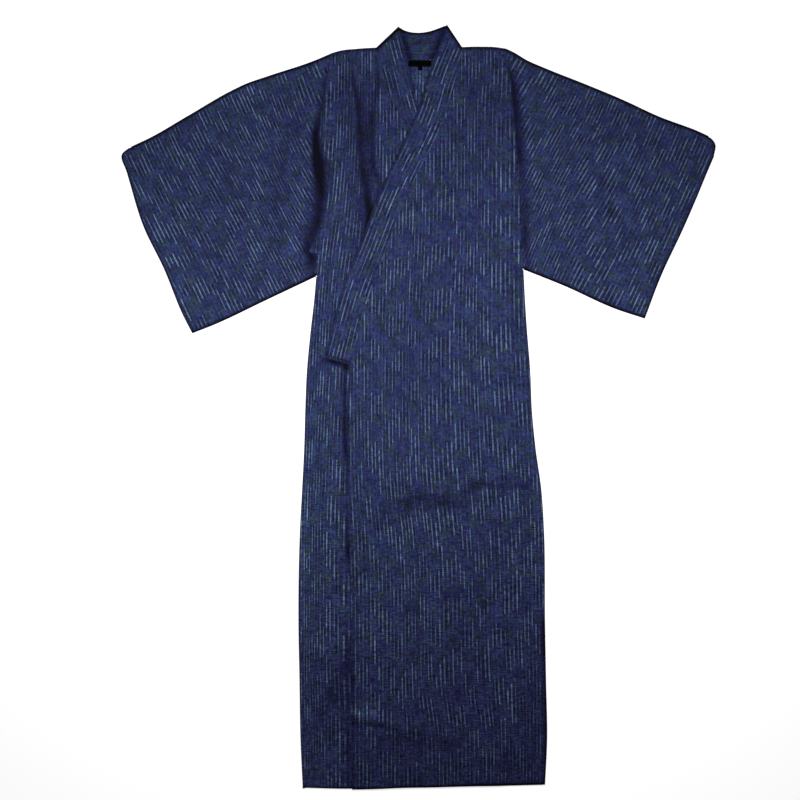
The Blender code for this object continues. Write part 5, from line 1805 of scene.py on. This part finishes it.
# black satin ribbon: even ribs, and hardly a gleam
black_ribbon, tree, ribbon_shader = new_material("black satin ribbon", Roughness=0.8,
                                                 Specular_IOR_Level=0.05)
ribs = add(tree, "ShaderNodeTexWave", add(tree, "ShaderNodeUVMap", uv_map="weave"),
           Scale=RIB_SCALE, Distortion=1.0, bands_direction="Y").outputs["Fac"]
shade = add(tree, MIX, ribs, linear(RIBBON_BLACK), linear(RIBBON_BLACK, RIB_SHINE),
            data_type="RGBA")
tree.links.new(shade.outputs["Result"], ribbon_shader["Base Color"])
bump = add(tree, "ShaderNodeBump", Height=ribs, Strength=0.4, Distance=RIB_HEIGHT)
tree.links.new(bump.outputs[0], ribbon_shader["Normal"])
print("ribs to a millimetre:", round(RIB_SCALE * 20 / math.tau * MM, 2))

# %% Finishes on the pieces
for node, piece in pieces.items():
    piece.data.materials.append(black_ribbon if node in ("neck_label", "size_tab") else cotton)
print("finishes:", [material.name for material in (cotton, thread, black_thread, black_ribbon)])

# %% [markdown]
# ## Where the stitches run
# Rows on the inside of the collar's back, round the label, along the hem and the front edge. Each
# row's height is read from the cloth under it with a ray from above.

# %% Stitch rows
StitchRow = namedtuple("StitchRow", "name on line pitch length thickness material")
HEM_INSET = 9.0
BAND_INSET = 14.0
ROW_RISE = 0.15         # how far a stitch's middle lies above the cloth
LOOK_FROM = 0.05        # m, above all of the cloth


def parallel(line, distance):
    """The same line, moved sideways to its left."""
    return line + distance * directions(line)[1]


# a line's first and last points are left off where its row would run past the cloth
ROWS = [StitchRow(*row) for row in (
    ("collar_back_row", "collar", parallel(curve(NECK_SEAM[1:-1]), BAND_INSET)[3:-3],
     4.2, 3.2, 0.35, thread),
    ("label_row_top", "neck_label", curve([(-17.5, 657.6), (23.5, 657.6)], 2.0),
     2.2, 1.5, 0.2, black_thread),
    ("label_row_foot", "neck_label", curve([(-17.5, 647.9), (23.5, 647.9)], 2.0),
     2.2, 1.5, 0.2, black_thread),
    ("hem_row_right", "body_right", hem_between(-214, -130, HEM_INSET), 9.0, 2.0, 0.25, thread),
    ("hem_row_overlap", "overlap_left", hem_between(-118, -2, HEM_INSET), 9.0, 2.0, 0.25, thread),
    ("hem_row_left", "body_left", hem_between(8, 236, HEM_INSET), 9.0, 2.0, 0.25, thread),
    ("front_edge_row", "overlap_left", parallel(curve(LEFT_OVERLAP_EDGE), HEM_INSET)[4:-3],
     9.0, 2.0, 0.25, thread))]
print("rows of stitches:", len(ROWS))


# %% Rows laid on the cloth
def stitch_row(row):
    ground = pieces[row.on]
    line = bpy.data.meshes.new(row.name)
    corners = []
    for x, y in row.line:
        start = Vector((x * MM, y * MM, LOOK_FROM)) + centring
        hit, place, normal, _ = ground.ray_cast(start, Vector((0.0, 0.0, -1.0)))
        if hit:
            corners.append(place + normal * ROW_RISE * MM)
    line.from_pydata(corners, [(k, k + 1) for k in range(len(corners) - 1)], [])
    piece = bpy.data.objects.new(row.name, line)
    bpy.context.collection.objects.link(piece)
    modifier = piece.modifiers.new("stitch row", "NODES")
    modifier.node_group = stitches
    values = {"Pitch": row.pitch * MM, "Stitch length": row.length * MM,
              "Thread": row.thickness * MM, "Thread material": row.material}
    for item in stitches.interface.items_tree:
        if item.name in values:
            modifier[item.identifier] = values[item.name]
    made_plain(piece)
    return piece


rows = {row.name: stitch_row(row) for row in ROWS}

# %% [markdown]
# ## Riding on the frame
# Everything is one body. Each cloth piece stands for its solid, which is hidden. The cloth of each
# piece is measured, both layers counted where front and back are one tube, and the body's is
# printed.

# %% Frame
for node, piece in pieces.items():
    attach(piece, "root")
    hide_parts(node)
for name, piece in rows.items():
    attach(piece, "root")
print("pieces on the frame:", len(pieces) + len(rows))


# %% Sheets
def square_metres(*panels):
    return round(sum(abs(area(panel.points)) for panel in panels) * MM**2, 3)


body_area = square_metres(left.front(0.0), left.back())
square_metres(right.front(HEM_STEP), right.back())
square_metres(overlap_panel(right, RIGHT_OVERLAP_EDGE, HEM_STEP))
square_metres(overlap_panel(left, LEFT_OVERLAP_EDGE, 0.0))
for side, plan in (("right", right_sleeve), ("left", left_sleeve)):
    square_metres(plan.front, plan.back)
square_metres(collar.back, collar.right, collar.left)
print("body cloth in m2:", body_area)

# %% [markdown]
# ## Floor and light
# The robe lies on a plain pale floor. A long soft box hangs a metre above the chest, so the light
# falls off towards the hem and grazes the crinkled cloth there. A weak fill comes from all round.

# %% Floor
FLOOR_DROP = 0.0005
FLOOR_HALF = 20
FLOOR_GLOW = 0.78       # so the floor stays white to its ends
FLOOR_TONES = ("#f2f2f2", "#ececec")

mesh = bpy.data.meshes.new("floor")
mesh.from_pydata([(x * FLOOR_HALF, y * FLOOR_HALF, -FLOOR_DROP)
                  for x, y in ((-1, -1), (1, -1), (1, 1), (-1, 1))], [], [(0, 1, 2, 3)])
floor = bpy.data.objects.new("floor", mesh)
bpy.context.collection.objects.link(floor)

# matt white board: even to the eye, with a hardly seen tone every third of a metre
board, tree, shader = new_material("matt white floor", Roughness=0.9,
                                   Emission_Color=(1.0, 1.0, 1.0, 1.0),
                                   Emission_Strength=FLOOR_GLOW)
speckle = add(tree, "ShaderNodeTexNoise", add(tree, "ShaderNodeTexCoord").outputs["Object"],
              Scale=3.0)
tone = add(tree, MIX, speckle, *map(linear, FLOOR_TONES), data_type="RGBA")
tree.links.new(tone.outputs["Result"], shader["Base Color"])
mesh.materials.append(board)
print("floor in m:", 2 * FLOOR_HALF, "x", 2 * FLOOR_HALF)

# %% Soft box and room
BOX_SIZE = (1.1, 0.3)
BOX_PLACE = (-0.04, 0.22, 1.0)
BOX_POWER = 9.95        # W
ROOM_LIGHT = 0.03

lamp = bpy.data.lights.new("soft box", "AREA")
lamp.shape = "RECTANGLE"
lamp.size, lamp.size_y = BOX_SIZE
lamp.energy = BOX_POWER
soft_box = bpy.data.objects.new("soft box", lamp)
soft_box.location = BOX_PLACE
soft_box.visible_camera = False
bpy.context.collection.objects.link(soft_box)

room = bpy.data.worlds.new("pale room")
room.use_nodes = True
fill = room.node_tree.nodes["Background"].inputs
fill["Color"].default_value = (1.0, 1.0, 1.0, 1.0)
fill["Strength"].default_value = ROOM_LIGHT
bpy.context.scene.world = room
bpy.context.scene.view_settings.view_transform = "Standard"
print("soft box above the floor in m:", soft_box.location.z)
